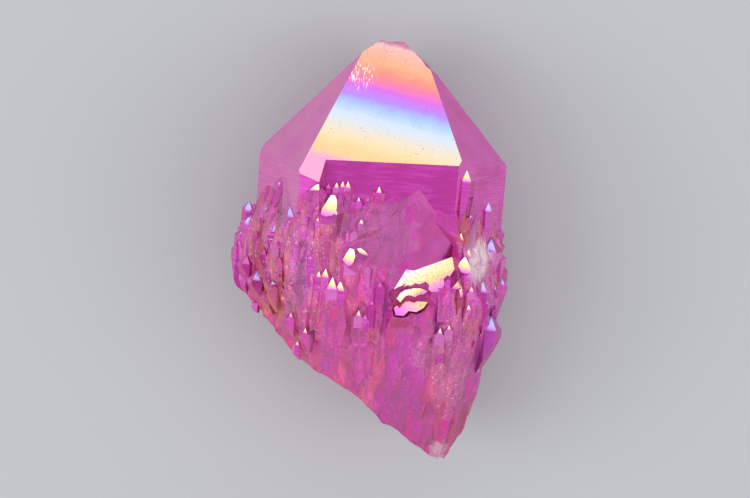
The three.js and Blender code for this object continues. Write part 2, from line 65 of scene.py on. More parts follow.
def srgb(hex_colour):
    """Linear RGBA from a hex colour such as '#c4469c'."""
    channels = [int(hex_colour[i:i + 2], 16) / 255 for i in (1, 3, 5)]
    linear = [c / 12.92 if c <= 0.04045 else ((c + 0.055) / 1.055) ** 2.4 for c in channels]
    return (*linear, 1.0)


def direction(turn, lean=90.0):
    """Unit vector turned about +Y from +Z, and leaning away from +Y."""
    turn, lean = math.radians(turn), math.radians(lean)
    return Vector((
        math.sin(lean) * math.sin(turn),
        math.cos(lean),
        math.sin(lean) * math.cos(turn),
    ))


FLASH = direction(0, TIP_LEAN)  # the large front tip face, and every face parallel to it
print("front tip face looks along", tuple(round(v, 3) for v in FLASH))

# %% [markdown]
# ## Solids from planes
# A crystal is the space behind a handful of planes: its growth faces. A primitive or a
# sculpted block would have to be cut to those angles face by face. Here the corners are
# worked out instead: the points where three planes meet and that no other plane cuts
# off. The hull of the corners is the solid.

# %% Turn planes into a solid
TOUCHING = 1e-4  # mm: a corner this close to a plane lies on it
LEAST_VOLUME = 1e-6  # three planes whose directions span less than this don't meet


def plane(way, point):
    """A plane by the way its outside looks and a point on it, in mm."""
    return Vector(way), Vector(point)


def solid_behind(planes):
    """The corners of the solid that lies behind the planes."""
    reaches = [(normal, normal.dot(point)) for normal, point in planes]
    corners = []
    for i, (a, reach_a) in enumerate(reaches):
        for j in range(i + 1, len(reaches)):
            b, reach_b = reaches[j]
            for c, reach_c in reaches[j + 1:]:
                volume = a.dot(b.cross(c))
                if abs(volume) < LEAST_VOLUME:
                    continue
                at = (b.cross(c) * reach_a + c.cross(a) * reach_b + a.cross(b) * reach_c)
                at /= volume
                if all(n.dot(at) < reach + TOUCHING for n, reach in reaches):
                    corners.append(at)
    return corners


cube = [plane(way, way) for way in (
    (1, 0, 0), (-1, 0, 0), (0, 1, 0), (0, -1, 0), (0, 0, 1), (0, 0, -1))]
print("the six planes of a cube give", len(solid_behind(cube)), "corners")

# %% Make an object of a solid
SAME_CORNER = 0.001  # mm


def as_object(name, shape):
    """An object with the shape as its mesh, faces outward."""
    bmesh.ops.recalc_face_normals(shape, faces=shape.faces)
    mesh = bpy.data.meshes.new(name)
    shape.to_mesh(mesh)
    shape.free()
    return bpy.data.objects.new(name, mesh)


def faceted_object(name, planes, origin=Vector()):
    """An object whose solid lies behind the planes, which are in mm about an origin."""
    shape = bmesh.new()
    for corner in solid_behind(planes):
        shape.verts.new((corner + origin) * MM)
    bmesh.ops.remove_doubles(shape, verts=shape.verts, dist=SAME_CORNER * MM)
    bmesh.ops.convex_hull(shape, input=shape.verts)
    inside = [v for v in shape.verts if not v.link_faces]
    bmesh.ops.delete(shape, geom=inside, context="VERTS")
    return as_object(name, shape)


print("corners less than", SAME_CORNER, "mm apart are one")


# %% [markdown]
# ## Prisms on an outline
# A pocket or a small plate isn't convex, so no set of planes gives it. It is an outline
# seen from the front, drawn out from one sloping plane to another, like a biscuit cut
# from rolled dough.

# %% Draw an outline out between two planes
def plane_height(surface, x, y):
    """How high a plane lies over a place, in mm."""
    normal, point = surface
    return point.z - (normal.x * (x - point.x) + normal.y * (y - point.y)) / normal.z


def prism_object(name, outline, low, high, origin=Vector()):
    """An upright prism on a counterclockwise outline, from a low plane to a high one."""
    shape = bmesh.new()
    rings = [
        [shape.verts.new((Vector((x, y, plane_height(surface, x, y))) + origin) * MM)
         for x, y in outline]
        for surface in (low, high)
    ]
    shape.faces.new(reversed(rings[0]))
    shape.faces.new(rings[1])
    for i in range(len(outline)):
        j = (i + 1) % len(outline)
        shape.faces.new((rings[0][i], rings[0][j], rings[1][j], rings[1][i]))
    return as_object(name, shape)


drop = -plane_height(plane(FLASH, (0, 0, 0)), 0.0, 1.0)
print("for each mm up the crystal a plane along FLASH drops", round(drop, 2), "mm")

# %% [markdown]
# ## The stone's large forms
# A growth face of quartz is flat, and it has one of a few directions. A broken or
# crowded surface is neither. The CAD solid holds both, so a copy of it is sorted: flat
# faces in a crystal direction stay as they are, and all the rest is cut into small
# triangles that can take relief. The copy is merged first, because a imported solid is
# made of loose triangles.

# %% Copy the solid and join its flat faces
SAME_DIRECTION = math.cos(math.radians(1.0))
SAME_PLANE = math.radians(0.25)
SAME_VERTEX = 0.0005  # mm


def clean(mesh):
    """A mesh as a bmesh with its loose triangles joined and its flat faces whole."""
    shape = bmesh.new()
    shape.from_mesh(mesh)
    bmesh.ops.remove_doubles(shape, verts=shape.verts, dist=SAME_VERTEX * MM)
    bmesh.ops.dissolve_limit(
        shape, angle_limit=SAME_PLANE, verts=shape.verts, edges=shape.edges)
    shape.normal_update()
    return shape


stone = clean(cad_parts["quartz_crystal"].data)
print(len(stone.faces), "faces after joining")

# %% [markdown]
# ## The broken pyramid
# In the middle of the front a crystal ends in a low pyramid with two broad faces, and
# narrow sloping faces above them. Its lower part is in the CAD solid. Its upper part
# stands 1.5 mm proud of the prism face, so it is joined on here as a solid behind its
# planes. Two more such solids make the strip of crystal to the right of the bright ledge.

# %% Shape the pyramid and the strip beside the ledge
PYRAMID_TOP = Vector((7.0, -6.3, 11.9))
PYRAMID_LEFT = Vector((-0.052, -0.029, 0.998))  # the ways its faces look
PYRAMID_RIGHT = Vector((0.310, -0.018, 0.951))
UPPER_LEFT = Vector((-0.500, 0.577, 0.645)).normalized()
UPPER_RIGHT = Vector((0.613, 0.497, 0.613)).normalized()
joins = [
    faceted_object("pyramid", [
        (PYRAMID_LEFT, PYRAMID_TOP),
        (PYRAMID_RIGHT, PYRAMID_TOP),
        (UPPER_LEFT, PYRAMID_TOP),
        (UPPER_RIGHT, PYRAMID_TOP),
        plane((0, -1, 0), (0, -15.6, 0)),
        plane((0, 0, -1), (0, 0, 7.0)),
        plane((-1, 0, 0), (-1.8, 0, 0)),
        plane((1, 0, 0), (14.2, 0, 0)),
    ], AXIS),
    faceted_object("groove_fill", [
        plane((0.15, 0.05, 0.987), (13.5, -23.0, 13.6)),
        plane((0, 0.8, 0.6), (13.0, -21.8, 13.0)),
        plane((-0.9, 0, 0.43), (11.3, -24.0, 12.0)),
        plane((1, 0, 0), (15.8, 0, 0)),
        plane((0, -0.95, 0.3), (13.5, -29.0, 13.0)),
        plane((0, 0, -1), (0, 0, 8.0)),
    ], AXIS),
    faceted_object("strip_beside_ledge", [
        plane(direction(0), (0, 0, 12.4)),
        plane(direction(-70), (14.9, 0, 11.0)),
        plane(direction(60), (16.0, 0, 12.0)),
        plane(direction(-20, 55.0), (15.2, -15.6, 12.0)),
        plane(direction(0, 115.0), (15.5, -25.0, 12.0)),
        plane((0, 0, -1), (0, 0, 8.0)),
    ], AXIS),
]
print([solid.name for solid in joins], "made from planes")

# %% [markdown]
# ## Small plates that flash
# Here and there on the crust a crystal's tip shows as one flat plate a millimetre or two
# wide, parallel to the big front tip face. Scattered crystals would put them anywhere, so
# each is a prism on its own outline, cut off at the top by a plane that looks along FLASH.

# %% Raise the plates
PLATE_DEPTH = 2.5
PLATES = [  # how far along FLASH the plate's top lies, in mm, and its outline
    (4.75, [(-9.1, -6.8), (-8.3, -6.8), (-7.9, -7.6), (-7.8, -8.9), (-8.0, -9.8),
            (-8.7, -10.3), (-9.8, -10.5), (-10.6, -10.2), (-10.5, -9.3), (-9.7, -7.9)]),
    (7.80, [(-13.1, -5.9), (-12.4, -5.2), (-11.7, -4.7), (-11.4, -4.7), (-11.2, -5.7)]),
    (0.50, [(-4.8, -16.1), (-4.0, -16.3), (-3.7, -17.4), (-3.9, -18.4), (-4.5, -19.1),
            (-5.2, -19.0), (-5.9, -18.1), (-5.3, -16.9)]),
    (0.20, [(-3.5, -16.2), (-2.8, -16.0), (-1.8, -16.6), (-1.3, -17.2), (-2.1, -17.1),
            (-3.0, -16.8)]),
    (2.29, [(-16.6, -9.6), (-15.6, -11.5), (-16.8, -11.6)]),
    (-1.67, [(-18.4, -16.5), (-17.8, -17.4), (-18.5, -17.5)]),
    (-5.60, [(-18.6, -23.7), (-17.7, -24.3), (-19.0, -24.4)]),
    (-0.26, [(16.5, -16.1), (16.9, -16.5), (17.4, -17.4), (17.8, -18.2), (17.7, -18.8),
             (17.1, -18.9), (16.0, -18.8), (15.7, -18.2), (15.4, -17.8), (15.6, -17.2)]),
    (-2.80, [(15.8, -20.5), (16.3, -21.7), (15.5, -22.1), (14.6, -22.0), (15.2, -21.3)]),
]
for number, (reach, outline) in enumerate(PLATES):
    foot = plane(FLASH, FLASH * (reach - PLATE_DEPTH))
    top = plane(FLASH, FLASH * reach)
    joins.append(prism_object(f"plate_{number}", outline, foot, top, AXIS))
print(len(PLATES), "plates")

# %% [markdown]
# ## The pocket and its terraces
# The lower lip of the bright ledge is eaten away in a pocket, and two small terraces rise
# from its floor, both parallel to the ledge. The pocket is a prism that is cut out, and
# the terraces are prisms that are joined on afterwards.

# %% Shape the pocket and the terraces
LIP = [(3.4, -23.7), (4.1, -22.9), (4.8, -22.5), (5.5, -22.5), (6.4, -22.1), (7.1, -22.2),
       (7.7, -21.7), (8.6, -21.8), (9.7, -21.3), (10.4, -21.8), (10.3, -22.5), (10.8, -22.9)]
POCKET_FOOT = [(10.5, -24.0), (10.5, -25.2), (9.8, -26.2), (8.5, -27.0), (7.2, -26.9),
               (6.2, -27.8), (4.4, -27.8), (3.9, -26.5), (4.2, -25.4), (3.4, -24.6)]
POCKET_FLOOR = plane((0, 0.233, 0.972), (7.0, -24.0, 13.1))
UPPER_TERRACE = [(4.6, -24.6), (5.1, -23.7), (5.9, -23.1), (7.4, -22.7), (8.8, -22.6),
                 (10.2, -23.0), (9.6, -23.5), (8.6, -23.7), (7.9, -24.1), (7.1, -23.9),
                 (6.3, -24.0), (5.8, -24.5), (5.3, -25.2)]
UPPER_TERRACE_TOP = plane(FLASH, (6.0, -24.8, 14.7))
LOWER_TERRACE = [(4.2, -26.4), (5.1, -25.7), (6.0, -25.3), (6.8, -24.9), (7.4, -25.2),
                 (8.3, -25.1), (8.8, -24.5), (9.2, -24.0), (10.0, -24.2), (10.3, -25.1),
                 (9.7, -26.0), (8.4, -26.8), (7.0, -26.7), (6.1, -27.6), (4.6, -27.6)]
LOWER_TERRACE_TOP = plane(FLASH, (7.0, -27.0, 14.9))
INSIDE = plane((0, 0, 1), (0, 0, 9.0))  # a level well inside the stone
OUTSIDE = plane((0, 0, 1), (0, 0, 30.0))
pocket = prism_object("pocket", LIP + POCKET_FOOT, POCKET_FLOOR, OUTSIDE, AXIS)
terraces = [
    prism_object("upper_terrace", UPPER_TERRACE, INSIDE, UPPER_TERRACE_TOP, AXIS),
    prism_object("lower_terrace", LOWER_TERRACE, INSIDE, LOWER_TERRACE_TOP, AXIS),
]
steps = [(solid, "UNION") for solid in joins]
steps += [(pocket, "DIFFERENCE")]
steps += [(solid, "UNION") for solid in terraces]
print("after", len(joins), "joins the", pocket.name, "is cut, then", len(terraces), "are joined")

# %% [markdown]
# ## Joining and cutting
# The real crystals grew together, so no wall may be left inside the stone. Boolean
# modifiers do that, one for each step, in turn. The manifold solver is quick, and gives a
# closed mesh as long as every part is closed.

# %% Join and cut in turn
joined_mesh = bpy.data.meshes.new("joined")
stone.to_mesh(joined_mesh)
stone.free()
joined = bpy.data.objects.new("joined", joined_mesh)
scene.collection.objects.link(joined)
for solid, operation in steps:
    scene.collection.objects.link(solid)
    boolean = joined.modifiers.new(solid.name, "BOOLEAN")
    boolean.operation = operation
    boolean.solver = "MANIFOLD"
    boolean.object = solid
evaluated = joined.evaluated_get(bpy.context.evaluated_depsgraph_get())
shaped_mesh = bpy.data.meshes.new_from_object(evaluated)
bpy.data.objects.remove(joined)
for solid, operation in steps:
    bpy.data.objects.remove(solid)
print(len(steps), "joins and cuts,", len(shaped_mesh.polygons), "faces")

# %% [markdown]
# ## Growth faces and rough ones
# A growth face is known by the way it looks. Quartz has six prism faces and six tip
# faces; on a real stone some are turned or lean a little, and those are listed too.
# Whatever looks another way is rough. Sorting by direction needs no picking by hand.

# %% Tell flat growth faces from rough ones
TURNED_FACES = (1.4, 55.0, -57.5)  # prism faces that aren't quite 60 degrees apart
SHOULDER_FACES = (-14.0, 75.0, -102.0)  # sides of the rib at the left shoulder
SHOULDER_BEVEL = direction(-60.0, 72.0)
FLANK_LEAN = 96.0  # sides of small crystals that draw in towards the foot
GROWTH_DIRECTIONS = [PYRAMID_LEFT, PYRAMID_RIGHT, UPPER_LEFT, UPPER_RIGHT, SHOULDER_BEVEL]
GROWTH_DIRECTIONS += [direction(turn, lean)
                      for turn in range(0, 360, 60) for lean in (90.0, TIP_LEAN)]
GROWTH_DIRECTIONS += [direction(turn) for turn in TURNED_FACES + SHOULDER_FACES]
GROWTH_DIRECTIONS += [direction(turn, FLANK_LEAN) for turn in (60, 120, -60, -120)]

stone = clean(shaped_mesh)


def is_growth_face(face):
    return any(face.normal.dot(way) > SAME_DIRECTION for way in GROWTH_DIRECTIONS)


rough = stone.faces.layers.float.new("rough")
for face in stone.faces:
    face[rough] = 0.0 if is_growth_face(face) else 1.0
rough_area = sum(f.calc_area() for f in stone.faces if f[rough] > 0.5) / MM**2
print(len(stone.faces), "faces,", round(rough_area), "mm2 of rough surface")

# %% [markdown]
# ## A surface that can take relief
# Long triangles can't show relief that is finer than they are. A subdivision modifier
# would cut the flat faces as finely as the crust. So only the rough edges longer than the
# wanted size are halved, again and again, and the pieces are made triangles. The edges
# shared with growth faces are split too, which keeps the mesh closed.

# %% Cut the rough surface into small triangles
FINE_EDGE = 0.55 * MM
PYRAMID_EDGE = 1.2 * MM  # the pyramid's faces stay flat but take a few marks
MOST_PASSES = 6


def is_pyramid(face):
    return max(face.normal.dot(PYRAMID_LEFT), face.normal.dot(PYRAMID_RIGHT)) > SAME_DIRECTION


def longest(edge):
    if any(f[rough] > 0.5 for f in edge.link_faces):
        return FINE_EDGE
    return PYRAMID_EDGE if any(is_pyramid(f) for f in edge.link_faces) else math.inf


for step in range(MOST_PASSES):
    long_edges = [e for e in stone.edges if e.calc_length() > longest(e)]
    if not long_edges:
        break
    bmesh.ops.subdivide_edges(stone, edges=long_edges, cuts=1)
    crooked = [f for f in stone.faces
               if len(f.verts) > 3 and (f[rough] > 0.5 or is_pyramid(f))]
    bmesh.ops.triangulate(stone, faces=crooked, quad_method="SHORT_EDGE")
    print("pass", step, "halved", len(long_edges), "edges,", len(stone.faces), "faces")

# %% [markdown]
# ## Which way the skin faces
# Small crystals that lie along the skin follow its broad run, not each bump. The normals
# are averaged with their neighbours' a few dozen times and kept with the vertices.

# %% Average the normals
BLENDS = 40

stone.normal_update()
stone.verts.index_update()
skin = stone.verts.layers.float_vector.new("skin")
ends = np.array([[v.index for v in edge.verts] for edge in stone.edges])
ways = np.array([v.normal for v in stone.verts])
for blend in range(BLENDS):
    total = ways.copy()
    np.add.at(total, ends[:, 0], ways[ends[:, 1]])
    np.add.at(total, ends[:, 1], ways[ends[:, 0]])
    ways = total / np.linalg.norm(total, axis=1, keepdims=True)
for v, way in zip(stone.verts, ways.tolist()):
    v[skin] = way
print("blended", len(ways), "normals over", len(ends), "edges")

# %% [markdown]
# ## Relief of the crowded and broken surface
# Thin crystals that grew side by side leave a skin of long flat panels, each a little
# higher, lower or more turned than the next, with a narrow groove between them. Voronoi
# cells that are stretched along the crystal give such panels. Where the stone broke it
# has shallow arcs round the place of the blow instead, as broken glass has. A bump map
# would be cheaper but wouldn't change the outline, so the vertices are moved. The border
# of each growth face keeps its place, so those faces stay flat. Three numbers are kept
# for the finish: a vertex's panel, how deep it lies in a groove, and if it is on a break.
# The groove's depth later darkens the colour as painted shade.

# %% Panels and grooves
PANEL_WIDTH = 1.9  # all in mm
PANEL_LENGTH = 9.0
PANEL_STEP = 0.26  # from the lowest panel to the highest
PANEL_TURN = 0.18  # how far one edge of a panel may stand over the other
PANEL_SWAY = 0.5  # how far the panels wander from straight
PANEL_RAGGED = 0.35  # how uneven their ends are, in panel lengths
GROOVE_DEPTH = 0.15
GROOVE_WIDTH = 0.30  # in panel widths
GRIT_RELIEF = 0.10
AXIS_DEPTH = 6.0  # the skin is measured round a line this far behind the long axis
NUMBER_SEED, TURN_SEED = 37.0, 53.0


def place(co):
    """A vertex's place about the crystal's long axis, in mm."""
    return co / MM - AXIS


def panel_at(p):
    """Height of the skin over its mean, the panel's own number and the groove's depth."""
    radius = math.hypot(p.x, p.z + AXIS_DEPTH)
    around = radius * math.atan2(p.x, p.z + AXIS_DEPTH)
    around += PANEL_SWAY * noise.noise(p * 0.3)
    spot = Vector((around / PANEL_WIDTH, p.y / PANEL_LENGTH, 0.5))
    spot.y += PANEL_RAGGED * noise.noise((around * 0.8, p.y * 0.2, 4.0))
    distances, centres = noise.voronoi(spot)
    number = noise.cell(centres[0] * NUMBER_SEED)
    lean = noise.cell(centres[0] * TURN_SEED) - 0.5
    turn = PANEL_TURN * lean * (spot.x - centres[0].x)
    groove = max(0.0, 1.0 - (distances[1] - distances[0]) / GROOVE_WIDTH)
    height = PANEL_STEP * (number - 0.5) + turn - GROOVE_DEPTH * groove
    return height + GRIT_RELIEF * noise.noise(p * 1.9), number, groove


sample = panel_at(Vector((12.0, -30.0, 8.0)))
print("height, number and groove at one place:", [round(v, 2) for v in sample])

# %% Arcs on the breaks
BREAK_RELIEF = 0.22
ARC_RELIEF = 0.16
ARC_WIDTH = 4.4
BLOW = Vector((-20.0, -24.0, -12.0))  # where the stone was struck when it broke
BREAK_DIRECTION = Vector((-0.6, -0.8, 0.0))
BREAK_LIMIT = 0.75  # skin that looks more than this along it is a break


def break_height(p):
    """Arcs round the place of the blow, as on broken glass, over an uneven ground."""
    distance = (p - BLOW).length + 1.5 * noise.noise(p * 0.12)
    arc = math.sin(math.tau * distance / ARC_WIDTH) * (0.6 + noise.noise(p * 0.2 + BLOW))
    uneven = noise.noise(p * 0.35) + 0.5 * noise.noise(p * 0.9) + 0.3 * noise.noise(p * 2.1)
    return ARC_RELIEF * arc + BREAK_RELIEF * uneven


def is_broken(way):
    return way.dot(BREAK_DIRECTION) > BREAK_LIMIT


sample = break_height(Vector((-12.0, -30.0, 0.0)))
print("height at one place on the break:", round(sample, 2), "mm")

# %% Push the rough surface in and out
CLEFT_X, CLEFT_Y = (-1.5, 15.5), (-19.5, -3.0)  # mm: the smooth middle of the front
CLEFT_SHARE = 0.12  # of the relief is left there
CLEFT_TONE = 0.25  # where a part stands in the row of body tones
BREAK_TONE = 0.40
SMOOTHINGS = 2


def in_cleft(p):
    return p.z > 0.0 and CLEFT_X[0] < p.x < CLEFT_X[1] and CLEFT_Y[0] < p.y < CLEFT_Y[1]


panel = stone.verts.layers.float.new("panel")
grooved = stone.verts.layers.float.new("groove")
broken = stone.verts.layers.float.new("broken")
on_rough = [v for v in stone.verts if all(f[rough] > 0.5 for f in v.link_faces)]
for v in on_rough:
    p = place(v.co)
    height, v[panel], v[grooved] = panel_at(p)
    if is_broken(v[skin]):
        height = break_height(p)
        v[panel], v[grooved], v[broken] = BREAK_TONE, 0.0, 1.0
    if in_cleft(p):
        height *= CLEFT_SHARE
        v[panel] = CLEFT_TONE
    v.co += v.normal * height * MM
for smoothing in range(SMOOTHINGS):
    bmesh.ops.smooth_vert(
        stone, verts=on_rough, factor=0.5, use_axis_x=True, use_axis_y=True, use_axis_z=True)
print("moved", len(on_rough), "of", len(stone.verts), "vertices")

# %% [markdown]
# ## The kinds of small crystal
# The skin is crowded with thin crystals. Most show only as flat shards that lie along
# the skin, each a little tilted, so that the light picks out one beside the other. The
# rest end in a small point, in the big crystal's own direction, and flash together with
# its tip face. Each is the solid behind a set of planes, which is how a crystal is drawn.

# %% The small point
POINT_LENGTH = (0.8, 2.6)  # mm, least and most, as in the other pairs
POINT_SIDE = (0.38, 0.62)  # from the middle to a side
POINT_UNEVEN = (0.0, 0.35)  # how much lower a tip face may start than the front one
FOOT_LEAN = (102.0, 114.0)  # how steeply the foot of a small point draws in
rng = np.random.default_rng(3)


def small_point():
    """A point 1 mm across with its tip at the origin."""
    planes = []
    length = rng.uniform(*POINT_LENGTH)
    lean = rng.uniform(*FOOT_LEAN)
    for turn in range(0, 360, 60):
        side = direction(turn) * rng.uniform(*POINT_SIDE)
        lowered = 0.0 if turn == 0 else rng.uniform(*POINT_UNEVEN)
        planes.append((direction(turn), side))
        planes.append((direction(turn, lean), side - Vector((0, length, 0))))
        planes.append((direction(turn, TIP_LEAN), Vector((0, -lowered, 0))))
    return planes


print("small points", POINT_LENGTH, "mm long, before they are scaled")

# %% The shard
SHARD_HALF_WIDTH = (0.45, 0.85)
SHARD_ABOVE = (2.0, 3.6)  # from its middle to its top corner
SHARD_BELOW = (2.4, 4.2)
SHARD_DEPTH = 0.9  # how far a shard reaches down into the stone
SHARD_SKEW = (-0.4, 0.4)  # where its corners stand, in half widths from the middle


def shard():
    """A flat shard about 1.3 mm wide and 6 mm long, its front through the origin."""
    half = rng.uniform(*SHARD_HALF_WIDTH)
    top = (rng.uniform(*SHARD_SKEW) * half, rng.uniform(*SHARD_ABOVE), 0)
    foot = (rng.uniform(*SHARD_SKEW) * half, -rng.uniform(*SHARD_BELOW), 0)
    planes = [plane((0, 0, 1), (0, 0, 0)), plane((0, 0, -1), (0, 0, -SHARD_DEPTH))]
    planes += [plane(direction(side * rng.uniform(50, 75)), (side * half, 0, 0))
               for side in (1, -1)]
    planes += [plane(direction(side * rng.uniform(35, 80), rng.uniform(35, 60)), top)
               for side in (1, -1)]
    planes += [plane(direction(side * rng.uniform(30, 80), rng.uniform(105, 150)), foot)
               for side in (1, -1)]
    return planes


print("shards up to", round(SHARD_ABOVE[1] + SHARD_BELOW[1], 1), "mm long")

# %% Make a few of each kind
KINDS = 6


def crystal_kinds(name, make):
    """A collection of a few solids of one sort, for Geometry Nodes to pick from."""
    kinds = bpy.data.collections.new(name)
    for number in range(KINDS):
        kinds.objects.link(faceted_object(f"{name}_{number}", make()))
    return kinds


points = crystal_kinds("small_points", small_point)
shards = crystal_kinds("shards", shard)

# %% [markdown]
# ## Where the crust is crowded
# Small crystals stand thickest in a belt round the middle, more so at the flanks, and
# keep off the breaks, the smooth cleft and the flashing plates. How crowded each vertex
# is gets stored with it, so that Geometry Nodes can read it, and it can be looked at and
# painted over in Blender.

# %% Say where the crust is crowded
CROWDED_Y = -17.0  # the small crystals are most crowded here, in mm along the crystal ...
CROWDED_REACH = 9.0  # ... and thin out over this distance
CRUST_FROM_Y = -6.0
THIN_X = 2.0  # they are thinnest here, in mm across the crystal ...
THIN_SHARE = 0.2  # ... with this share of the flanks' crowd ...
THIN_REACH = 15.0  # ... and thicken over this distance
PLATE_CLEARING = 1.9  # no small crystal grows across a flashing plate ...
LEDGE_CLEARINGS = [  # ... or here
    (Vector((9.5, -20.5)), 5.0),
    (Vector((7.2, -25.0)), 3.6),
    (Vector((22.0, -37.0)), 4.5),
]
STEEPEST = 0.3  # a small point stands on skin that runs nearly along the crystal


def outline_middle(outline):
    return sum((Vector(corner) for corner in outline), Vector((0, 0))) / len(outline)


clearings = LEDGE_CLEARINGS + [
    (outline_middle(outline), PLATE_CLEARING) for reach, outline in PLATES]


def in_clearing(p):
    return p.z > 0.0 and any((p.xy - middle).length < reach for middle, reach in clearings)


def crowding(p, way):
    if is_broken(way) or in_cleft(p) or p.y > CRUST_FROM_Y or in_clearing(p):
        return 0.0
    belt = math.exp(-((p.y - CROWDED_Y) / CROWDED_REACH) ** 2)
    flank = min(1.0, THIN_SHARE + abs(p.x - THIN_X) / THIN_REACH)
    return belt * flank


stone.normal_update()
stone_mesh = bpy.data.meshes.new("quartz_point")
pointed = stone.verts.layers.float.new("pointed")
shardy = stone.verts.layers.float.new("shardy")
for v in stone.verts:
    if any(f[rough] < 0.5 for f in v.link_faces):
        continue
    v[shardy] = crowding(place(v.co), v[skin])
    v[pointed] = v[shardy] if abs(v[skin].y) < STEEPEST else 0.0
print("non-manifold edges:", sum(not e.is_manifold for e in stone.edges))
stone.to_mesh(stone_mesh)
stone.free()
piece = bpy.data.objects.new("aura_quartz", stone_mesh)
scene.collection.objects.link(piece)

# %% [markdown]
# ## One helper for every node
# Geometry and shader trees are both made of nodes, settings and links. Written out, each
# node takes three or four lines. One helper takes the settings by name and the inputs as
# numbers, texts or other nodes' outputs, and gives back an output for the next node. A
# colour ramp's stops are one more setting: a place from 0 to 1 and a colour for each.

# %% Add a node
def add_node(tree, kind, inputs, take=0, stops=(), **settings):
    """Add a node, set its settings, link or fill its inputs, and give one output."""
    node = tree.nodes.new(kind)
    for key, value in settings.items():
        setattr(node, key, value)
    points = node.color_ramp.elements if stops else []
    while len(points) < len(stops):
        points.new(1.0)
    for point, (at, shade) in zip(points, stops):
        point.position = at
        point.color = srgb(shade)
    pairs = enumerate(inputs) if isinstance(inputs, list) else inputs.items()
    for key, value in pairs:
        if isinstance(value, bpy.types.NodeSocket):
            tree.links.new(value, node.inputs[key])
        else:
            node.inputs[key].default_value = value
    return node.outputs[take] if node.outputs else None


# %% [markdown]
# ## Growing the crust with Geometry Nodes
# The small crystals aren't set by hand: there are over a hundred, and their number should
# be one value to change. The tree scatters points on the skin where an attribute allows
# it, and puts a shard or a small point on each. Shards follow the skin with a little
# tilt, and small points keep the big crystal's own direction. Each is sunk so that only a
# part stands out, and a boolean makes one solid of them all, because the real crystals
# grew together.

# %% Name the tree's inputs and scatter the seeds
GROW_SOCKETS = [  # name, kind and usual value
    ("Stone", "Geometry", None), ("Kinds", "Collection", None), ("Where", "String", None),
    ("Density", "Float", 1.0), ("Spacing", "Float", MM),
    ("Size From", "Float", 0.5), ("Size To", "Float", 1.0),
    ("Proud From", "Float", 0.0), ("Proud To", "Float", MM),
    ("Follow Skin", "Float", 0.0), ("Tilt", "Vector", None),
    ("Seed", "Int", 1), ("Material", "Material", None),
]
LEAN_SEED, HEIGHT_SEED, KIND_SEED = 21, 7, 5

grower = bpy.data.node_groups.new("grow_small_crystals", "GeometryNodeTree")
for label, kind, usual in GROW_SOCKETS:
    made = grower.interface.new_socket(label, in_out="INPUT", socket_type="NodeSocket" + kind)
    if usual is not None:
        made.default_value = usual
grower.interface.new_socket("Stone", in_out="OUTPUT", socket_type="NodeSocketGeometry")


def grow_node(kind, inputs, take=0, **settings):
    return add_node(grower, kind, inputs, take, **settings)


asked = grow_node("NodeGroupInput", {}).node.outputs
where = grow_node("GeometryNodeInputNamedAttribute", {"Name": asked["Where"]},
                  data_type="FLOAT")
seeds = grow_node("GeometryNodeDistributePointsOnFaces", {
    "Mesh": asked["Stone"], "Distance Min": asked["Spacing"],
    "Density Max": asked["Density"], "Density Factor": where, "Seed": asked["Seed"],
}, distribute_method="POISSON")
print("the tree scatters by", seeds.node.distribute_method)

# %% Give each crystal a size and sink it
skin_way = grow_node("GeometryNodeInputNamedAttribute", {"Name": "skin"},
                     data_type="FLOAT_VECTOR")
random_size = grow_node("FunctionNodeRandomValue", {
    2: asked["Size From"], 3: asked["Size To"], "Seed": asked["Seed"]}, 1, data_type="FLOAT")
sized = grow_node("GeometryNodeStoreNamedAttribute", {
    "Geometry": seeds, "Name": "size", "Value": random_size,
}, data_type="FLOAT", domain="POINT")
size = grow_node("GeometryNodeInputNamedAttribute", {"Name": "size"}, data_type="FLOAT")
proud = grow_node("FunctionNodeRandomValue", {
    2: asked["Proud From"], 3: asked["Proud To"], "Seed": HEIGHT_SEED}, 1, data_type="FLOAT")
height = grow_node("ShaderNodeMath", [proud, size], operation="MULTIPLY")
offset = grow_node("ShaderNodeVectorMath", {0: skin_way, "Scale": height}, operation="SCALE")
placed = grow_node("GeometryNodeSetPosition", {"Geometry": sized, "Offset": offset})
print("the tree has", len(grower.nodes), "nodes so far")

# %% Turn it, and join all into the stone
upright = grow_node("FunctionNodeAlignRotationToVector", {
    "Factor": asked["Follow Skin"], "Vector": skin_way}, axis="Z")
along = grow_node("FunctionNodeAlignRotationToVector", {
    "Rotation": upright, "Factor": asked["Follow Skin"], "Vector": (0.0, 1.0, 0.0)},
    axis="Y", pivot_axis="Z")
back = grow_node("ShaderNodeVectorMath", {0: asked["Tilt"], "Scale": -1.0},
                 operation="SCALE")
tilt = grow_node("FunctionNodeRandomValue", {0: back, 1: asked["Tilt"], "Seed": LEAN_SEED},
                 data_type="FLOAT_VECTOR")
leaning = grow_node("FunctionNodeRotateRotation", {"Rotation": along, "Rotate By": tilt},
                    rotation_space="LOCAL")
kinds = grow_node("GeometryNodeCollectionInfo", {
    "Collection": asked["Kinds"], "Separate Children": True, "Reset Children": True})
which = grow_node("FunctionNodeRandomValue", {4: 0, 5: KINDS - 1, "Seed": KIND_SEED}, 2,
                  data_type="INT")
grown = grow_node("GeometryNodeInstanceOnPoints", {
    "Points": placed, "Instance": kinds, "Pick Instance": True, "Instance Index": which,
    "Rotation": leaning, "Scale": size})
union = grow_node("GeometryNodeMeshBoolean", {"Mesh 2": grown}, operation="UNION",
                  solver="MANIFOLD")
grower.links.new(asked["Stone"], union.node.inputs["Mesh 2"])
real = grow_node("GeometryNodeRealizeInstances", {"Geometry": union})
dressed = grow_node("GeometryNodeSetMaterial", {
    "Geometry": real, "Material": asked["Material"]})
grow_node("NodeGroupOutput", [dressed])
grow_inputs = {item.name: item.identifier for item in grower.interface.items_tree
               if item.in_out == "INPUT"}
print("the tree has", len(grower.nodes), "nodes")


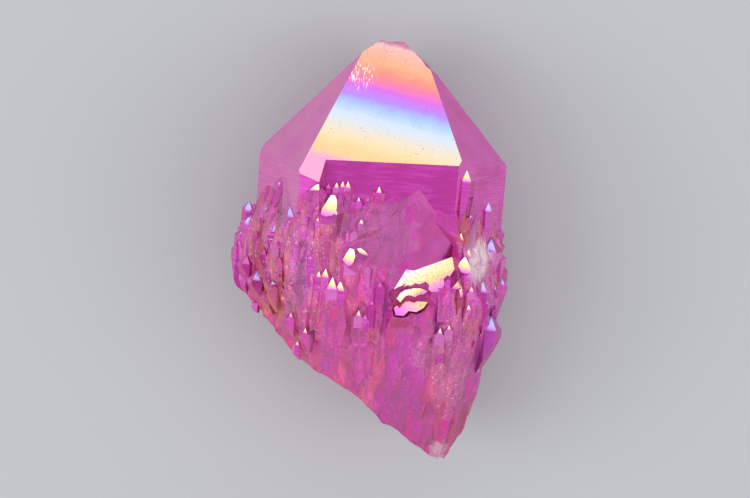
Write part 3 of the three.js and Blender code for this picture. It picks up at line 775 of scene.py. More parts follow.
# %% Run the tree twice
def grow(target, **values):
    """Run the tree on a piece and keep the result as its plain mesh."""
    modifier = target.modifiers.new("grow", "NODES")
    modifier.node_group = grower
    for label, value in values.items():
        modifier[grow_inputs[label.replace("_", " ")]] = value
    target.update_tag()
    evaluated = target.evaluated_get(bpy.context.evaluated_depsgraph_get())
    target.data = bpy.data.meshes.new_from_object(evaluated)
    target.modifiers.remove(modifier)
    print("after", values["Kinds"].name, "the stone has", len(target.data.polygons), "faces")


quartz = bpy.data.materials.new("coated_quartz")
SHARD_TILT = [math.radians(angle) for angle in (1.2, 9.0, 2.5)]
grow(piece, Kinds=shards, Where="shardy", Density=0.3e6, Spacing=1.3 * MM,
     Size_From=0.4, Size_To=1.2, Proud_From=-0.2 * MM, Proud_To=0.12 * MM,
     Follow_Skin=1.0, Tilt=SHARD_TILT, Seed=4, Material=quartz)
grow(piece, Kinds=points, Where="pointed", Density=0.15e6, Spacing=1.4 * MM,
     Size_From=0.2, Size_To=0.7, Proud_From=-0.4 * MM, Proud_To=-0.05 * MM,
     Follow_Skin=0.0, Tilt=(0.0, 0.0, 0.0), Seed=8, Material=quartz)

# %% [markdown]
# ## Faces that flash, each face's own tint, and painted shade on the large ones
# All faces that are parallel to the big front tip face catch the same light and flash
# together, large and small. On each one the colour runs from its upper edge to its lower
# one, because the film is thinner there. So every flat patch is found by walking from
# face to face across edges that don't bend, and its height range is kept on its faces.
# The smallest faces are seldom quite clean, so only a share of them catches the light.
# A patch also gets a number of its own, for a tint that differs from its neighbour's. A
# large face instead gets a tone by the way it looks, which is partly the film's colour and
# partly painted shade and painted reflection.

# %% Tones of the large faces, partly painted shade and reflection
# a large face's tone by the way it looks: partly the film's colour, partly painted shade and
# painted reflection of the bright surround and the darker space overhead
BIG_FACE_SHADES = [  # the way a large face looks, and its tone
    (direction(0.0), 0.45),
    (direction(60.0, TIP_LEAN), 0.24),
    (direction(-60.0, TIP_LEAN), 0.04),
    (direction(60.0), 0.22),
    (direction(-60.0), 0.04),
    (direction(120.0), 0.30),
    (direction(-120.0), 0.35),
    (direction(180.0), 0.40),
]
# the pyramid's faces, the right one painted deep as shade and reflection, the left one paler
PYRAMID_FACE_SHADES = [
    (PYRAMID_LEFT, 0.64),
    (PYRAMID_RIGHT, 0.84),
    (UPPER_LEFT, 0.20),
    (UPPER_RIGHT, 0.12),
]
BIG_PATCH = 12.0  # mm2


def patch_tone_and_shade(way, area, otherwise):
    """The tone of a flat face, by the way it looks if it is large, partly painted shade and
    reflection.
    """
    for known, tone in PYRAMID_FACE_SHADES:
        if way.dot(known) > SAME_DIRECTION:
            return tone
    if area < BIG_PATCH:
        return otherwise
    return max(BIG_FACE_SHADES, key=lambda known: way.dot(known[0]))[1]


print("tones for", len(BIG_FACE_SHADES) + len(PYRAMID_FACE_SHADES), "ways that a large face looks")

# %% Find the flat patches
stone = bmesh.new()
stone.from_mesh(piece.data)
stone.normal_update()
rough = stone.faces.layers.float["rough"]
layers = {name: stone.faces.layers.float.new(name)
          for name in ("flash", "main", "tint", "striated", "patch_top", "patch_span", "slope")}


def flat_patch(first, seen):
    """All faces that can be reached from the first one without crossing a bend."""
    seen.add(first)
    patch, waiting = [], [first]
    while waiting:
        face = waiting.pop()
        patch.append(face)
        for edge in face.edges:
            for other in edge.link_faces:
                if other in seen or other[rough] > 0.5:
                    continue
                if other.normal.dot(first.normal) > SAME_DIRECTION:
                    seen.add(other)
                    waiting.append(other)
    return patch


def patch_area(patch):
    return sum(f.calc_area() for f in patch) / MM**2


def patch_corners(patch):
    return [place(v.co) for f in patch for v in f.verts]


seen, patches = set(), []
for face in stone.faces:
    if face[rough] < 0.5 and face not in seen:
        patches.append(flat_patch(face, seen))
patches.sort(key=patch_area, reverse=True)
print(len(patches), "flat patches, the largest", round(patch_area(patches[0])), "mm2")

# %% Choose the patches that flash
FLASH_WITHIN = math.cos(math.radians(2.0))
SMALL_PATCH = 0.4  # mm2: of the faces below this ...
FLANK_PATCH = 1.4  # ... or below this out at the flanks ...
SMALL_SHARE = 0.3  # ... only this share catches the light
SMALL_TONES = 0.5  # small faces take any tone up to this one
MIDDLE_X = 2.5
FLANK_FROM = 15.0  # mm to either side of the middle

draw = np.random.default_rng(12)
tones = draw.uniform(0.0, SMALL_TONES, len(patches))
catches = draw.uniform(0.0, 1.0, len(patches)) < SMALL_SHARE
middles, flashes = [], []
for patch, catch in zip(patches, catches):
    corners = patch_corners(patch)
    middle = sum(corners, Vector()) / len(corners)
    least = FLANK_PATCH if abs(middle.x - MIDDLE_X) > FLANK_FROM else SMALL_PATCH
    parallel = patch[0].normal.dot(FLASH) > FLASH_WITHIN
    middles.append(middle)
    flashes.append(parallel and (catch or patch_area(patch) > least))
print(sum(flashes), "of them flash")

# %% Say how the colours run on a patch
BAND_SLOPE = 0.16  # the colour bands sink this much for each mm to the right
LEDGE_MIDDLE = Vector((8.5, -22.5, 13.5))  # the ledge and its terraces
LEDGE_REACH = 5.0
LEDGE_SLOPE = -0.65  # there the bands climb to the right instead
LOWER_TERRACE_FROM = -25.0  # the lower terrace starts further down the bands ...
LOWER_TERRACE_SHIFT = 1.3  # ... by this share of their span
LOWER_TERRACE_SLOPE = 0.5
LEAST_SPAN = 0.2  # mm


def bands(patch, middle, flash):
    """How the bands slope on a patch, where they start, and their span in mm."""
    near_ledge = flash and (middle - LEDGE_MIDDLE).length < LEDGE_REACH
    on_lower = near_ledge and middle.y < LOWER_TERRACE_FROM
    slope = BAND_SLOPE
    if near_ledge:
        slope = LOWER_TERRACE_SLOPE if on_lower else LEDGE_SLOPE
    falls = [corner.dot(Vector((slope, 1.0, 0.0))) for corner in patch_corners(patch)]
    low, high = min(falls), max(falls)
    if on_lower:
        high += LOWER_TERRACE_SHIFT * (high - low)
    return slope, high, max(high - low, LEAST_SPAN)


sample = bands(patches[0], middles[0], flashes[0])
print("slope, start and span on the largest patch:", [round(v, 2) for v in sample])

# %% Store what each patch shows on its faces
MAIN_PATCH = 240.0  # mm2: only the big tip face is larger
STEEP_LIMIT = 0.3  # faces that look more along the crystal than this aren't striated

for patch, tone, middle, flash in zip(patches, tones, middles, flashes):
    area = patch_area(patch)
    slope, top, span = bands(patch, middle, flash)
    kept = {
        "flash": flash, "main": flash and area > MAIN_PATCH, "slope": slope,
        "tint": patch_tone_and_shade(patch[0].normal, area, tone), "patch_top": top, "patch_span": span,
    }
    for f in patch:
        for name, value in kept.items():
            f[layers[name]] = float(value)
        f[layers["striated"]] = float(abs(f.normal.y) < STEEP_LIMIT and not is_pyramid(f))
print("stored", ", ".join(layers))

# %% [markdown]
# ## Marks in the stone
# A few places differ from the rest. There is milky quartz near the right shoulder and at
# the foot, coral and violet where the film is a little thicker or thinner, a dull mauve
# cleft, crimson where the stone is thin, pale dust on the crust, scratches that wear the
# ledge, and painted shade in the deepest clefts. An image could be painted for each, but it
# would need an unwrapped surface. A soft ellipse on the vertices, with an edge that
# noise makes uneven, needs only a place and a size.

# %% Where the marks are
MARKS = {  # x, y, half width and half height in mm about the long axis, and strength
    "milk": [(19.2, -17.2, 2.1, 2.9, 1.0), (20.0, -19.6, 1.0, 1.3, 1.0),
             (15.0, -56.0, 1.8, 2.2, 0.5)],
    "coral": [(16.2, -12.0, 1.2, 2.6, 0.8), (16.6, -25.0, 1.2, 1.6, 0.8),
              (19.0, -29.0, 1.2, 2.0, 0.7), (-18.5, -28.5, 2.6, 3.4, 0.9),
              (-17.3, -24.0, 0.9, 2.6, 0.8), (-4.0, -35.0, 1.2, 7.0, 0.4),
              (1.0, -32.0, 1.2, 1.8, 0.7), (-9.0, -17.0, 2.4, 4.5, 0.6),
              (-12.0, -30.5, 3.2, 4.0, 0.45), (-17.8, -21.0, 2.4, 3.5, 0.4),
              (-3.5, -27.0, 2.0, 3.0, 0.35), (-6.0, -36.0, 9.0, 6.0, 0.22)],
    "violet": [(-8.2, -34.0, 0.9, 5.5, 0.8), (11.8, -15.0, 2.2, 2.2, 0.25),
               (17.8, -11.5, 0.8, 8.0, 0.6), (-16.8, -7.0, 1.2, 6.0, 0.6),
               (23.4, -30.0, 1.8, 6.0, 0.7), (21.5, -38.0, 1.9, 6.0, 0.8),
               (19.0, -46.0, 1.6, 5.0, 0.6), (6.0, -48.0, 5.0, 6.0, 0.4)],
    "mauve": [(2.0, -13.5, 5.0, 6.0, 0.9), (-6.5, -12.0, 2.0, 3.0, 0.4),
              (14.5, -33.0, 5.0, 7.0, 0.4)],
    "crimson": [(-22.0, -21.0, 1.6, 6.0, 0.8), (19.5, -51.0, 1.2, 4.0, 0.7),
                (5.6, -29.2, 1.6, 0.9, 0.9), (7.0, -25.0, 3.4, 2.2, 0.7),
                (-11.0, -43.0, 2.0, 2.0, 0.5), (9.0, -52.0, 9.0, 10.0, 0.2),
                (0.0, 21.2, 5.5, 1.3, 0.9)],
    "dust": [(12.0, -35.0, 4.0, 4.0, 0.7), (16.0, -41.0, 3.0, 6.0, 0.9),
             (17.0, -30.0, 3.5, 5.0, 0.6), (-15.0, -19.0, 7.0, 10.0, 0.9)],
    "worn": [(9.5, -21.5, 7.5, 4.6, 1.0)],
    # painted shade along the deepest clefts
    "cleft_shade": [(-13.4, -24.0, 0.9, 5.5, 0.8), (-18.5, -10.5, 0.5, 3.6, 0.6),
              (2.1, -34.5, 0.35, 4.0, 0.8), (-6.5, -12.0, 1.2, 2.2, 0.6),
              (7.0, -9.0, 0.3, 1.2, 0.7), (-13.5, -16.2, 0.8, 0.7, 0.6)],
}
print(sum(len(ellipses) for ellipses in MARKS.values()), "marks of", len(MARKS), "kinds")

# %% Store the marks on the vertices
EDGE_NOISE = 0.55  # how uneven a mark's edge is, in half widths
EDGE_AT = 1.25  # where it ends ...
EDGE_RISE = 2.2  # ... and how quickly it comes in from there
MARKED_FROM_Z = -6.0  # mm: no mark lies further back
LEAST_MARK = 0.1  # a weaker one isn't counted

places = [place(v.co) for v in stone.verts]
uneven = np.array([noise.noise(p * 0.9) for p in places]) * EDGE_NOISE
flat = np.array([(p.x, p.y) for p in places])
front = np.array([p.z > MARKED_FROM_Z for p in places])
for name, ellipses in MARKS.items():
    strength = np.zeros(len(places))
    for x, y, half_width, half_height, most in ellipses:
        across = (flat - (x, y)) / (half_width, half_height)
        inside = EDGE_AT - np.linalg.norm(across, axis=1) + uneven
        strength = np.maximum(strength, most * np.clip(EDGE_RISE * inside, 0.0, 1.0) * front)
    layer = stone.verts.layers.float.new(name)
    for v, value in zip(stone.verts, strength.tolist()):
        v[layer] = value
    print(name, "marks", int((strength > LEAST_MARK).sum()), "vertices")

# %% [markdown]
# ## Crisp edges and soft skin
# Light shows at once whether an edge is crisp. A growth face ends in a knife edge, and
# the rough skin is worn soft. So flat faces are shaded flat, the skin is shaded smooth,
# and an edge stays sharp where it bends enough.

# %% Mark the sharp edges
FLAT_BEND = math.radians(5.0)  # an edge of a flat face stays sharp above this
SHARP_BEND = math.radians(50.0)

for face in stone.faces:
    face.smooth = face[rough] > 0.5
for edge in stone.edges:
    bend = edge.calc_face_angle(math.pi)
    flat_side = any(f[rough] < 0.5 for f in edge.link_faces)
    edge.smooth = bend < (FLAT_BEND if flat_side else SHARP_BEND)
print(sum(not e.smooth for e in stone.edges), "sharp edges")
stone.to_mesh(piece.data)
stone.free()

# %% [markdown]
# ## The coated quartz
# Quartz is a clear glass-like crystal, index 1.54. The vacuum coating is a film of metal
# atoms a few hundred nanometres thick. Where a face mirrors a lamp the film shows pure
# interference colours. Elsewhere the light goes through it twice and comes back magenta.
# So one material has two looks, chosen by the flash attribute: a mirror with bands of
# colour, and a pink body that is partly see-through where the faces are smooth. All of it
# is worked out from a place on the stone, in mm, and from the numbers stored on the mesh.

# %% Start the material
def add(kind, inputs, take=0, **settings):
    """Add a shader node to the coated quartz."""
    return add_node(quartz.node_tree, "ShaderNode" + kind, inputs, take, **settings)


quartz.use_nodes = True
quartz.node_tree.nodes.clear()
facts = {name: add("Attribute", [], "Fac", attribute_name=name)
         for name in (*layers, "rough", "panel", "groove", "broken", "shardy", *MARKS)}
here = add("VectorMath", [add("TexCoord", [], "Object"), (1 / MM, 1 / MM, 1 / MM), -AXIS],
           operation="MULTIPLY_ADD")
axes = add("SeparateXYZ", [here]).node.outputs
print("the material reads", ", ".join(facts))

# %% [markdown]
# ## Noise drawn out along the crystal
# What grows in quartz is drawn out along the crystal or lies straight across it. One
# noise, squeezed or stretched by three numbers, gives both. On a break nothing is drawn
# out, so there the noise can take even coordinates instead.

# %% Two helpers for noise
USUAL_LOW, USUAL_HIGH = 0.3, 0.7  # nearly all of a noise lies between these
EVEN_SHAPE = (0.4, 0.3, 0.4)  # per mm

even = add("VectorMath", [here, EVEN_SHAPE], operation="MULTIPLY")


def drawn_noise(shape, detail, roughness=0.5, breaks_too=True):
    """A noise with so many waves per mm along x, y and z."""
    drawn = add("VectorMath", [here, shape], operation="MULTIPLY")
    if not breaks_too:
        drawn = add("Mix", {0: facts["broken"], 4: drawn, 5: even}, 1, data_type="VECTOR")
    return add("TexNoise", {
        "Vector": drawn, "Scale": 1.0, "Detail": detail, "Roughness": roughness})


def swing(value, reach):
    """A noise spread from its usual range to one from -reach to reach."""
    return add("MapRange", [value, USUAL_LOW, USUAL_HIGH, -reach, reach])


print("waves per mm of the even noise:", EVEN_SHAPE)

# %% [markdown]
# ## Bands of interference colour
# The film is thinner towards a face's lower edge, so its colour runs from blue through
# gold to pink, or on the big tip face from a worn rose tip through orange, violet and
# blue to gold. A colour ramp along the face gives the order of the colours exactly, where
# a computed film would have to be tuned for every face. A slow noise makes the bands wavy.

# %% Colours of the film
MAIN_BANDS = [  # from the tip down to the shoulder
    (0.00, "#b4688c"), (0.05, "#c07c98"), (0.08, "#eabab8"), (0.12, "#f0b4a2"),
    (0.22, "#f8aa84"), (0.30, "#f88c7c"), (0.36, "#ee78a2"), (0.42, "#ca6cd4"),
    (0.49, "#a886f2"), (0.555, "#9eb8f6"), (0.63, "#bed2ee"), (0.73, "#d6d2c4"),
    (0.82, "#eacea2"), (0.89, "#f2c48c"), (0.94, "#f6c090"), (0.97, "#f4b0ae"),
    (1.0, "#f0a0c4"),
]
SMALL_BANDS = [  # on a small face, from its upper edge to its lower one
    (0.00, "#cfd6ff"), (0.16, "#f2f0f4"), (0.34, "#fdf0c0"), (0.62, "#ffd892"),
    (0.80, "#ff9ecc"), (1.0, "#d060d4"),
]
FLANK_BANDS = [  # the same on faces out at the flanks, where the film is thinner
    (0.00, "#7c8cf0"), (0.40, "#acb8f2"), (0.70, "#c4a0e0"), (1.0, "#9c48c0"),
]
print(len(MAIN_BANDS), "stops on the big face,", len(SMALL_BANDS), "on a small one")

# %% Run the bands along the faces
MAIN_TOP = 22.0  # mm: where the bands of the big tip face start
MAIN_SPAN = 24.0
BAND_WAVE = 1.4  # how far a band wanders up and down
FLANK_NEAR, FLANK_FAR = 14.5, 18.5  # mm to either side of the middle

slope = add("Math", [axes[0], facts["slope"], axes[1]], operation="MULTIPLY_ADD")
waves = add("TexNoise", {"Vector": here, "Scale": 0.35, "Detail": 3.0})
wavy = add("Math", [waves, BAND_WAVE, slope], operation="MULTIPLY_ADD")
first_band = MAIN_TOP + BAND_WAVE / 2
on_main = add("MapRange", [wavy, first_band, first_band - MAIN_SPAN])
depth = add("Math", [facts["patch_top"], slope], operation="SUBTRACT")
on_small = add("Math", [depth, facts["patch_span"]], operation="DIVIDE")
sideways = add("Math", [axes[0], MIDDLE_X], operation="SUBTRACT")
sideways = add("Math", [sideways], operation="ABSOLUTE")
sideways = add("MapRange", [sideways, FLANK_NEAR, FLANK_FAR])
small = add("ValToRGB", [on_small], stops=SMALL_BANDS)
flank = add("ValToRGB", [on_small], stops=FLANK_BANDS)
small = add("Mix", {0: sideways, 6: small, 7: flank}, 2, data_type="RGBA")
large = add("ValToRGB", [on_main], stops=MAIN_BANDS)
flash_colour = add("Mix", {0: facts["main"], 6: small, 7: large}, 2, data_type="RGBA")
print("on the big face the bands run from", MAIN_TOP, "down to", MAIN_TOP - MAIN_SPAN, "mm")

# %% [markdown]
# ## Wear and painted glints on the bright faces
# Even a bright face has specks, and a web of fine scratches where it was handled most. At
# the left edge of the big one a few chips are painted white as glints. Specks are Voronoi
# cells of which only some are filled, each with its own size, and scratches are the thin
# line where a twisted noise crosses its middle value.

# %% Specks
SPECKS = [(1.1, 0.5, 0.16), (2.2, 0.5, 0.10)]  # per mm, share of cells, radius in mm
SPECK_DARK = 0.5

dark = 0.0
for scale, share, widest in SPECKS:
    cells = add("TexVoronoi", {"Vector": here, "Scale": scale}, "Distance")
    chosen = add("SeparateColor", [cells.node.outputs["Color"]])
    reach = add("MapRange", [chosen, 1.0 - share, 1.0, 0.0, widest * scale])
    speck = add("Math", [cells, reach], operation="LESS_THAN")
    dark = add("Math", [speck, dark], operation="MAXIMUM")
dark = add("Math", [dark, SPECK_DARK], operation="MULTIPLY")
print(len(SPECKS), "sizes of speck")

# %% Scratches
SCRATCH_WIDTH = 0.045  # in noise values
SCRATCH_DARK = 0.75
WORN_FROM = 14.0  # mm: scratches thicken from here up to the tip
WORN_TO = 20.0
TIP_WORN = 0.7
WORN_COLOUR = "#7a4a50"

scratch = add("TexNoise", {"Vector": here, "Scale": 1.9, "Detail": 2.0, "Distortion": 1.2})
scratch = add("Math", [scratch, 0.5], operation="SUBTRACT")
scratch = add("Math", [scratch], operation="ABSOLUTE")
scratch = add("MapRange", [scratch, 0.0, SCRATCH_WIDTH, SCRATCH_DARK, 0.0])
near_tip = add("MapRange", [axes[1], WORN_FROM, WORN_TO, 0.0, TIP_WORN])
near_tip = add("Math", [near_tip, facts["main"]], operation="MULTIPLY")
worn = add("Math", [facts["worn"], near_tip], operation="MAXIMUM")
scratch = add("Math", [scratch, worn], operation="MULTIPLY")
dark = add("Math", [dark, scratch], operation="MAXIMUM")
flash_colour = add("Mix", {0: dark, 6: flash_colour, 7: srgb(WORN_COLOUR)},
                   2, data_type="RGBA")
print("specks and scratches are", WORN_COLOUR)

# %% Painted glints on the chips
CHIP_GLINTS_AT = (-6.2, 15.0, -1.0)
CHIP_GLINTS_REACH = 4.2
CHIP_GLINT_SHAPE = (3.4, 0.8, 0.8)  # per mm
CHIP_GLINT_FROM, CHIP_GLINT_FULL, CHIP_GLINT_BRIGHT = 0.55, 0.63, 0.7

near = add("VectorMath", [here, CHIP_GLINTS_AT], "Value", operation="DISTANCE")
near = add("MapRange", [near, CHIP_GLINTS_REACH, 0.5 * CHIP_GLINTS_REACH])
chip_glints = drawn_noise(CHIP_GLINT_SHAPE, 2.0)
chip_glints = add("MapRange", [chip_glints, CHIP_GLINT_FROM, CHIP_GLINT_FULL, 0.0, CHIP_GLINT_BRIGHT])
chip_glints = add("Math", [chip_glints, near], operation="MULTIPLY")
chip_glints = add("Math", [chip_glints, facts["main"]], operation="MULTIPLY")
# painted glints: the chips at the big face's left edge are painted white
flash_colour = add("Mix", {0: chip_glints, 6: flash_colour, 7: srgb("#ffffff")},
                   2, data_type="RGBA")
print("chips within", CHIP_GLINTS_REACH, "mm of", CHIP_GLINTS_AT)

# %% [markdown]
# ## Pinks of the rough skin
# Each panel of the crust has its own pink, because the film is never equally thick on
# two of them. Drawn-out noise adds streaks, a shift to salmon where the film is thicker
# and to lilac where it is thinner, and the crowded belt is paler with stone dust.

# %% Colour the rough skin
BODY_TONES = [  # rough panels, from violet to coral
    (0.00, "#cc3cb0"), (0.22, "#d42ca4"), (0.45, "#da2496"), (0.70, "#dc468e"),
    (1.00, "#e06494"),
]
STREAK_SHAPE = (1.6, 0.16, 1.6)  # per mm, as the next one
SPREAD_SHAPE = (0.9, 0.22, 0.9)
SALMON, LILAC, PALE_PINK = "#dc7092", "#c04cbc", "#e8a0b4"
SALMON_RANGE = (0.50, 0.66, 0.0, 0.45)  # noise where it starts and is full, and its shares
LILAC_RANGE = (0.48, 0.34, 0.0, 0.5)
CRUST_PALE = 0.42

streak = swing(drawn_noise(STREAK_SHAPE, 4.0, breaks_too=False), 0.24)
tone = add("Math", [facts["panel"], streak], operation="ADD")
skin_colour = add("ValToRGB", [tone], stops=BODY_TONES)
spread = drawn_noise(SPREAD_SHAPE, 6.0, 0.65, breaks_too=False)
# real stone dust that pales the crust, and also the mask of the painted glints further down
dust_and_glint_mask = add("Math", [facts["shardy"], facts["dust"]], operation="MAXIMUM")
pale = add("Math", [dust_and_glint_mask, CRUST_PALE], operation="MULTIPLY")
salmon = add("MapRange", [spread, *SALMON_RANGE])
lilac = add("MapRange", [spread, *LILAC_RANGE])
for share, shade in [(salmon, SALMON), (pale, PALE_PINK), (lilac, LILAC)]:
    skin_colour = add("Mix", {0: share, 6: skin_colour, 7: srgb(shade)},
                      2, data_type="RGBA")
print(len(BODY_TONES), "pinks on the skin")

# %% [markdown]
# ## Pinks of the smooth faces
# A smooth face is one even pink, deeper or paler than the next, with fine lines straight
# across the crystal on the prism faces and a cloud here and there inside. Then the marks
# that were stored on the vertices are laid over both kinds of surface.

# %% Colour the smooth faces and lay the marks over all
FACE_TONES = [  # smooth faces, from the palest mauve to crimson
    (0.00, "#fc8ade"), (0.22, "#fa5ae2"), (0.45, "#d432a6"), (0.65, "#c83c9c"),
    (0.85, "#8c0460"), (1.00, "#dc3874"),
]
LINE_SHAPE = (0.25, 2.4, 0.25)  # per mm
MARK_COLOURS = {  # in the order in which they are laid
    "violet": "#b84cb8", "coral": "#d8705c", "mauve": "#b8689c", "crimson": "#b01450",
    "milk": "#fff0f6",
}
MARK_SHARE = 0.85

line = swing(drawn_noise(LINE_SHAPE, 4.0), 0.10)
line = add("Math", [line, facts["striated"], facts["tint"]], operation="MULTIPLY_ADD")
cloud = swing(add("TexNoise", {"Vector": here, "Scale": 0.16, "Detail": 3.0}), 0.08)
tone = add("Math", [line, cloud], operation="ADD")
colour = add("ValToRGB", [tone], stops=FACE_TONES)
colour = add("Mix", {0: facts["rough"], 6: colour, 7: skin_colour}, 2, data_type="RGBA")
for mark, shade in MARK_COLOURS.items():
    share = add("Math", [facts[mark], MARK_SHARE], operation="MULTIPLY")
    colour = add("Mix", {0: share, 6: colour, 7: srgb(shade)}, 2, data_type="RGBA")
print(len(MARK_COLOURS), "kinds of mark laid on")

# %% [markdown]
# ## Seams, painted glints, pits and painted shade
# Thin dark seams run between the crystals of the crust, seldom unbroken. Bright flecks on
# the dusty crust are painted glints, where a grain would mirror the lamp, and small pits
# show dark. The grooves and the deepest clefts are darkened as painted shade. Seams are the
# borders of drawn-out Voronoi cells, and the painted glints and pits are the two ends of
# one noise.

# %% Draw the seams and the painted shade in the grooves
SEAM_SHAPE = (0.85, 0.17, 0.85)  # per mm
SEAM_WIDTH = 0.05  # in cells
SEAM_DARK = 0.8
SEAM_PATCHES = (0.42, 0.6)  # noise values between which a seam comes in
# how far the grooves are darkened by their depth, as painted shade
GROOVE_SHADE_DARK = 0.42

cells = add("VectorMath", [here, SEAM_SHAPE], operation="MULTIPLY")
seam = add("TexVoronoi", {"Vector": cells, "Scale": 1.0}, "Distance",
           feature="DISTANCE_TO_EDGE")
seam = add("MapRange", [seam, 0.0, SEAM_WIDTH, SEAM_DARK, 0.0])
patchy = add("TexNoise", {"Vector": here, "Scale": 0.45, "Detail": 2.0})
patchy = add("MapRange", [patchy, *SEAM_PATCHES])
seam = add("Math", [seam, patchy], operation="MULTIPLY")
plain = add("Math", [facts["rough"], facts["milk"]], operation="SUBTRACT")
seam = add("Math", [seam, plain], operation="MULTIPLY")
# the seams are dark joints; the grooves are darkened by their depth as painted shade
dirt_and_shade = add("Math", [facts["groove"], GROOVE_SHADE_DARK, seam], operation="MULTIPLY_ADD")
print("seams", SEAM_WIDTH, "of a cell wide")

# %% Scatter the painted glints on the dust
DUST_GLINT_COLOURS = [(0.3, "#ffe6b0"), (0.45, "#ffd0e8"), (0.55, "#e8dcff"), (0.7, "#ff9ab0")]
DUST_GLINT_FROM, DUST_GLINT_FULL, DUST_GLINT_BRIGHT = 0.635, 0.67, 0.9

grains = add("TexNoise", {"Vector": here, "Scale": 2.4, "Detail": 2.0})
# painted glints: bright flecks where a grain of dust would mirror the lamp
dust_glint = add("MapRange", [grains, DUST_GLINT_FROM, DUST_GLINT_FULL, 0.0, DUST_GLINT_BRIGHT])
dust_glint = add("Math", [dust_glint, dust_and_glint_mask], operation="MULTIPLY")
glint_hue = add("TexNoise", {"Vector": here, "Scale": 0.5})
glint_hue = add("ValToRGB", [glint_hue], stops=DUST_GLINT_COLOURS)
colour = add("Mix", {0: dust_glint, 6: colour, 7: glint_hue}, 2, data_type="RGBA")
print(len(DUST_GLINT_COLOURS), "colours of fleck")

# %% Darken the pits and lay on the painted shade of the clefts
PIT_FROM, PIT_FULL, PIT_DARK = 0.34, 0.31, 0.5
SMOOTH_SHARE = 0.35  # of pits and grain is left on smooth faces
# one colour for dark seams and pits, and for the painted shade in grooves and clefts
DIRT_AND_SHADE_COLOUR = "#84506e"

pit = add("MapRange", [grains, PIT_FROM, PIT_FULL, 0.0, PIT_DARK])
share = add("MapRange", [facts["rough"], 0.0, 1.0, SMOOTH_SHARE, 1.0])
pit = add("Math", [pit, share], operation="MULTIPLY")
dirt_and_shade = add("Math", [dirt_and_shade, pit], operation="MAXIMUM")
dirt_and_shade = add("Math", [dirt_and_shade, facts["cleft_shade"]], operation="MAXIMUM")
colour = add("Mix", {0: dirt_and_shade, 6: colour, 7: srgb(DIRT_AND_SHADE_COLOUR)}, 2, data_type="RGBA")
print("pits, seams and grooves go towards", DIRT_AND_SHADE_COLOUR)

# %% [markdown]
# ## Grain
# No patch of the crust is one even colour. A fine noise makes every colour a little
# darker or lighter, and less so on the smooth faces.

# %% Add the grain and choose between body and flash
GRAIN = 0.20  # share by which fine grain darkens or lightens a colour

grain = add("TexNoise", {"Vector": here, "Scale": 2.6, "Detail": 3.0, "Roughness": 0.7})
grain = swing(grain, GRAIN)
grain = add("Math", [grain, share, 1.0], operation="MULTIPLY_ADD")
colour = add("VectorMath", {0: colour, "Scale": grain}, operation="SCALE")
colour = add("Mix", {0: facts["flash"], 6: colour, 7: flash_colour},
             2, data_type="RGBA")
print("grain of", GRAIN)

# %% [markdown]
# ## Gloss, clearness and fine lines
# A growth face is as glossy as glass and lets light through. Crust and milky quartz are
# duller and let almost none through. Prism faces have growth lines across them that are
# too fine to model, and the crust has grit, so both come from a bump.

# %% Set gloss, clearness and bump
BODY_METAL, FLASH_METAL = 0.12, 0.85
SMOOTH_GLOSS, ROUGH_GLOSS, GLOSS_UNEVEN = 0.14, 0.34, 0.12  # shader roughness
SMOOTH_CLEAR, ROUGH_CLEAR = 0.35, 0.08
GROWTH_LINES = (0.15, 2.6, 0.15)  # per mm
PLAIN_BUMP, LINED_BUMP, ROUGH_BUMP = 0.04, 0.25, 0.55
BUMP_HEIGHT = 0.12 * MM

metal = add("MapRange", [facts["flash"], 0.0, 1.0, BODY_METAL, FLASH_METAL])
dull = add("Math", [facts["rough"], facts["milk"]], operation="MAXIMUM")
uneven = add("TexNoise", {"Vector": here, "Scale": 2.5, "Detail": 3.0})
gloss = add("MapRange", [dull, 0.0, 1.0, SMOOTH_GLOSS, ROUGH_GLOSS])
gloss = add("Math", [uneven, GLOSS_UNEVEN, gloss], operation="MULTIPLY_ADD")
clear = add("MapRange", [dull, 0.0, 1.0, SMOOTH_CLEAR, ROUGH_CLEAR])
lines = drawn_noise(GROWTH_LINES, 2.0)
grit = add("TexNoise", {"Vector": here, "Scale": 3.0, "Detail": 4.0})
height = add("Mix", {0: facts["rough"], 2: lines, 3: grit}, data_type="FLOAT")
lined = add("MapRange", [facts["striated"], 0.0, 1.0, PLAIN_BUMP, LINED_BUMP])
strength = add("MapRange", [facts["rough"], 0.0, 1.0, lined, ROUGH_BUMP])
bump = add("Bump", {"Height": height, "Strength": strength, "Distance": BUMP_HEIGHT})
print("roughness", SMOOTH_GLOSS, "on growth faces and", ROUGH_GLOSS, "on the crust")

# %% [markdown]
# ## The shader
# One principled shader takes all of this: its transmission is the clear stone, its metal
# share and thin film are the coating, which shifts the mirror light a little with the
# angle. A volume that absorbs gives the pink inside. So the edges, where the light's way
# through is short, stay clearer than the middle.

# %% Put the coated quartz together
QUARTZ_IOR = 1.54
FILM_NM = 294.0
FILM_IOR = 1.8
SHEEN = 0.3  # specular level: the film takes part of the mirror light
PINK_GLASS = "#e070c0"  # what is left of light that went through the stone
DENSITY = 12.0  # per metre

surface = add("BsdfPrincipled", {
    "Base Color": colour, "Metallic": metal, "Specular IOR Level": SHEEN,
    "Roughness": gloss, "IOR": QUARTZ_IOR, "Transmission Weight": clear, "Normal": bump,
    "Thin Film Thickness": FILM_NM, "Thin Film IOR": FILM_IOR})
inside = add("VolumeAbsorption", {"Color": srgb(PINK_GLASS), "Density": DENSITY})
add("OutputMaterial", {"Surface": surface, "Volume": inside})
print("coated_quartz has", len(quartz.node_tree.nodes), "nodes")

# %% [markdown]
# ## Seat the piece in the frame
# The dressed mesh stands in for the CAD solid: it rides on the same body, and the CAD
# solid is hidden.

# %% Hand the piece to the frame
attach(piece, "root")
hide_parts("quartz_crystal")
print(piece.name, "stands in for quartz_crystal")

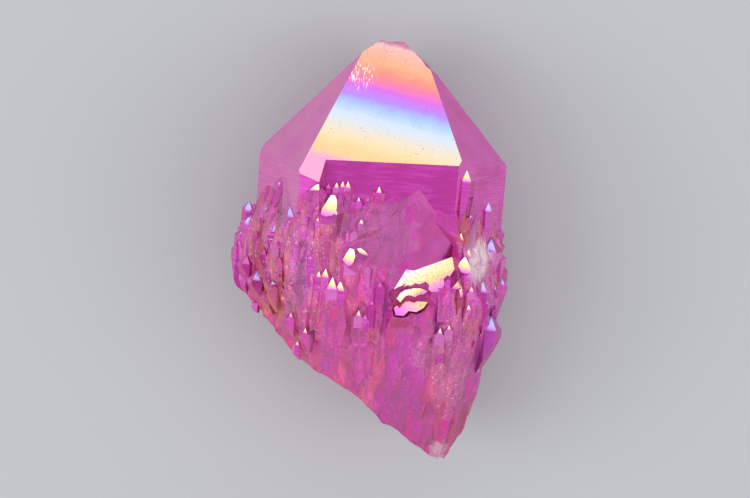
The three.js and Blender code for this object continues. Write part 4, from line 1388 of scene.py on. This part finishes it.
# %% [markdown]
# ## The floor
# The stone lies on a sheet of pale matte paper, which is one large square. It isn't part
# of the specimen, so it is staged and not replaced.

# %% Lay the floor
FLOOR_SIZE = 2.0
half = FLOOR_SIZE / 2
floor_mesh = bpy.data.meshes.new("floor")
floor_mesh.from_pydata(
    [(-half, -half, 0), (half, -half, 0), (half, half, 0), (-half, half, 0)],
    [], [(0, 1, 2, 3)])
floor = bpy.data.objects.new("floor", floor_mesh)
scene.collection.objects.link(floor)
paper = bpy.data.materials.new("matte_paper")
paper.use_nodes = True
paper_shader = paper.node_tree.nodes["Principled BSDF"]
paper_shader.inputs["Base Color"].default_value = srgb("#bcbec0")
paper_shader.inputs["Roughness"].default_value = 0.9
floor_mesh.materials.append(paper)
print("floor of", FLOOR_SIZE, "m")

# %% [markdown]
# ## Light
# A grey surround gives an even light. A wide lamp stands low beyond the tip, just where
# the flashing faces mirror it, and the space overhead stays darker, so that the front
# prism face stays a deep magenta. Two softer lamps, one on each side, model the crust.
# A sky image would light it too, but couldn't be turned so that the faces flash.

# %% Light it
def soft_lamp(name, location, target, size, power):
    """A square lamp that looks from one point at another; metres and watts."""
    data = bpy.data.lights.new(name, "AREA")
    data.shape = "RECTANGLE"
    data.size, data.size_y = size
    data.energy = power
    lamp = bpy.data.objects.new(name, data)
    lamp.location = location
    away = Vector(location) - Vector(target)
    lamp.rotation_euler = away.to_track_quat("Z", "Y").to_euler()
    scene.collection.objects.link(lamp)
    return lamp


TIP = (0.0, 0.03, 0.025)
soft_lamp("flash_lamp", (0.0, 0.68, 0.31), TIP, (0.60, 0.30), 0.42)
soft_lamp("left_lamp", (-0.7, -0.1, 0.6), TIP, (0.6, 0.6), 2.6)
soft_lamp("right_lamp", (0.7, -0.1, 0.6), TIP, (0.6, 0.6), 1.8)
surround = bpy.data.worlds.new("surround")
surround.use_nodes = True
surround.node_tree.nodes["Background"].inputs[0].default_value = (0.76, 0.77, 0.79, 1.0)
scene.world = surround
scene.view_settings.view_transform = "Standard"
print("three lamps and a surround")

# %% [markdown]
# ## The camera
# The camera looks down on the lying stone, nearly along the way its front looks, as if it
# were held up to the eye. It leans a little to the tip and is rolled a little, and a long
# lens from arm's length keeps the crystal's edges straight and true.

# %% Place the camera
LOOK = Vector((-0.16, -18.02, 0.0))  # the point looked at, in mm about the long axis
RANGE = 430.0
RISE = math.radians(9.0)  # the camera leans this much from straight above, to the tip
ROLL = math.radians(4.7)
FIELD = math.radians(18.86)
SENSOR = 36.0

away = Vector((0.0, math.sin(RISE), math.cos(RISE)))
level_up = Vector((0.0, math.cos(RISE), -math.sin(RISE)))
level_right = Vector((1.0, 0.0, 0.0))
right = level_right * math.cos(ROLL) + level_up * math.sin(ROLL)
up = level_up * math.cos(ROLL) - level_right * math.sin(ROLL)
camera_data = bpy.data.cameras.new("camera")
camera_data.sensor_width = SENSOR
camera_data.lens = SENSOR / 2 / math.tan(FIELD / 2)
camera_data.clip_start = 0.01
camera = bpy.data.objects.new("camera", camera_data)
scene.collection.objects.link(camera)
turned = Matrix((right, up, away)).transposed().to_4x4()
camera.matrix_world = Matrix.Translation((AXIS + LOOK + away * RANGE) * MM) @ turned
scene.camera = camera
print("camera at", [round(v, 3) for v in camera.matrix_world.translation], "m")
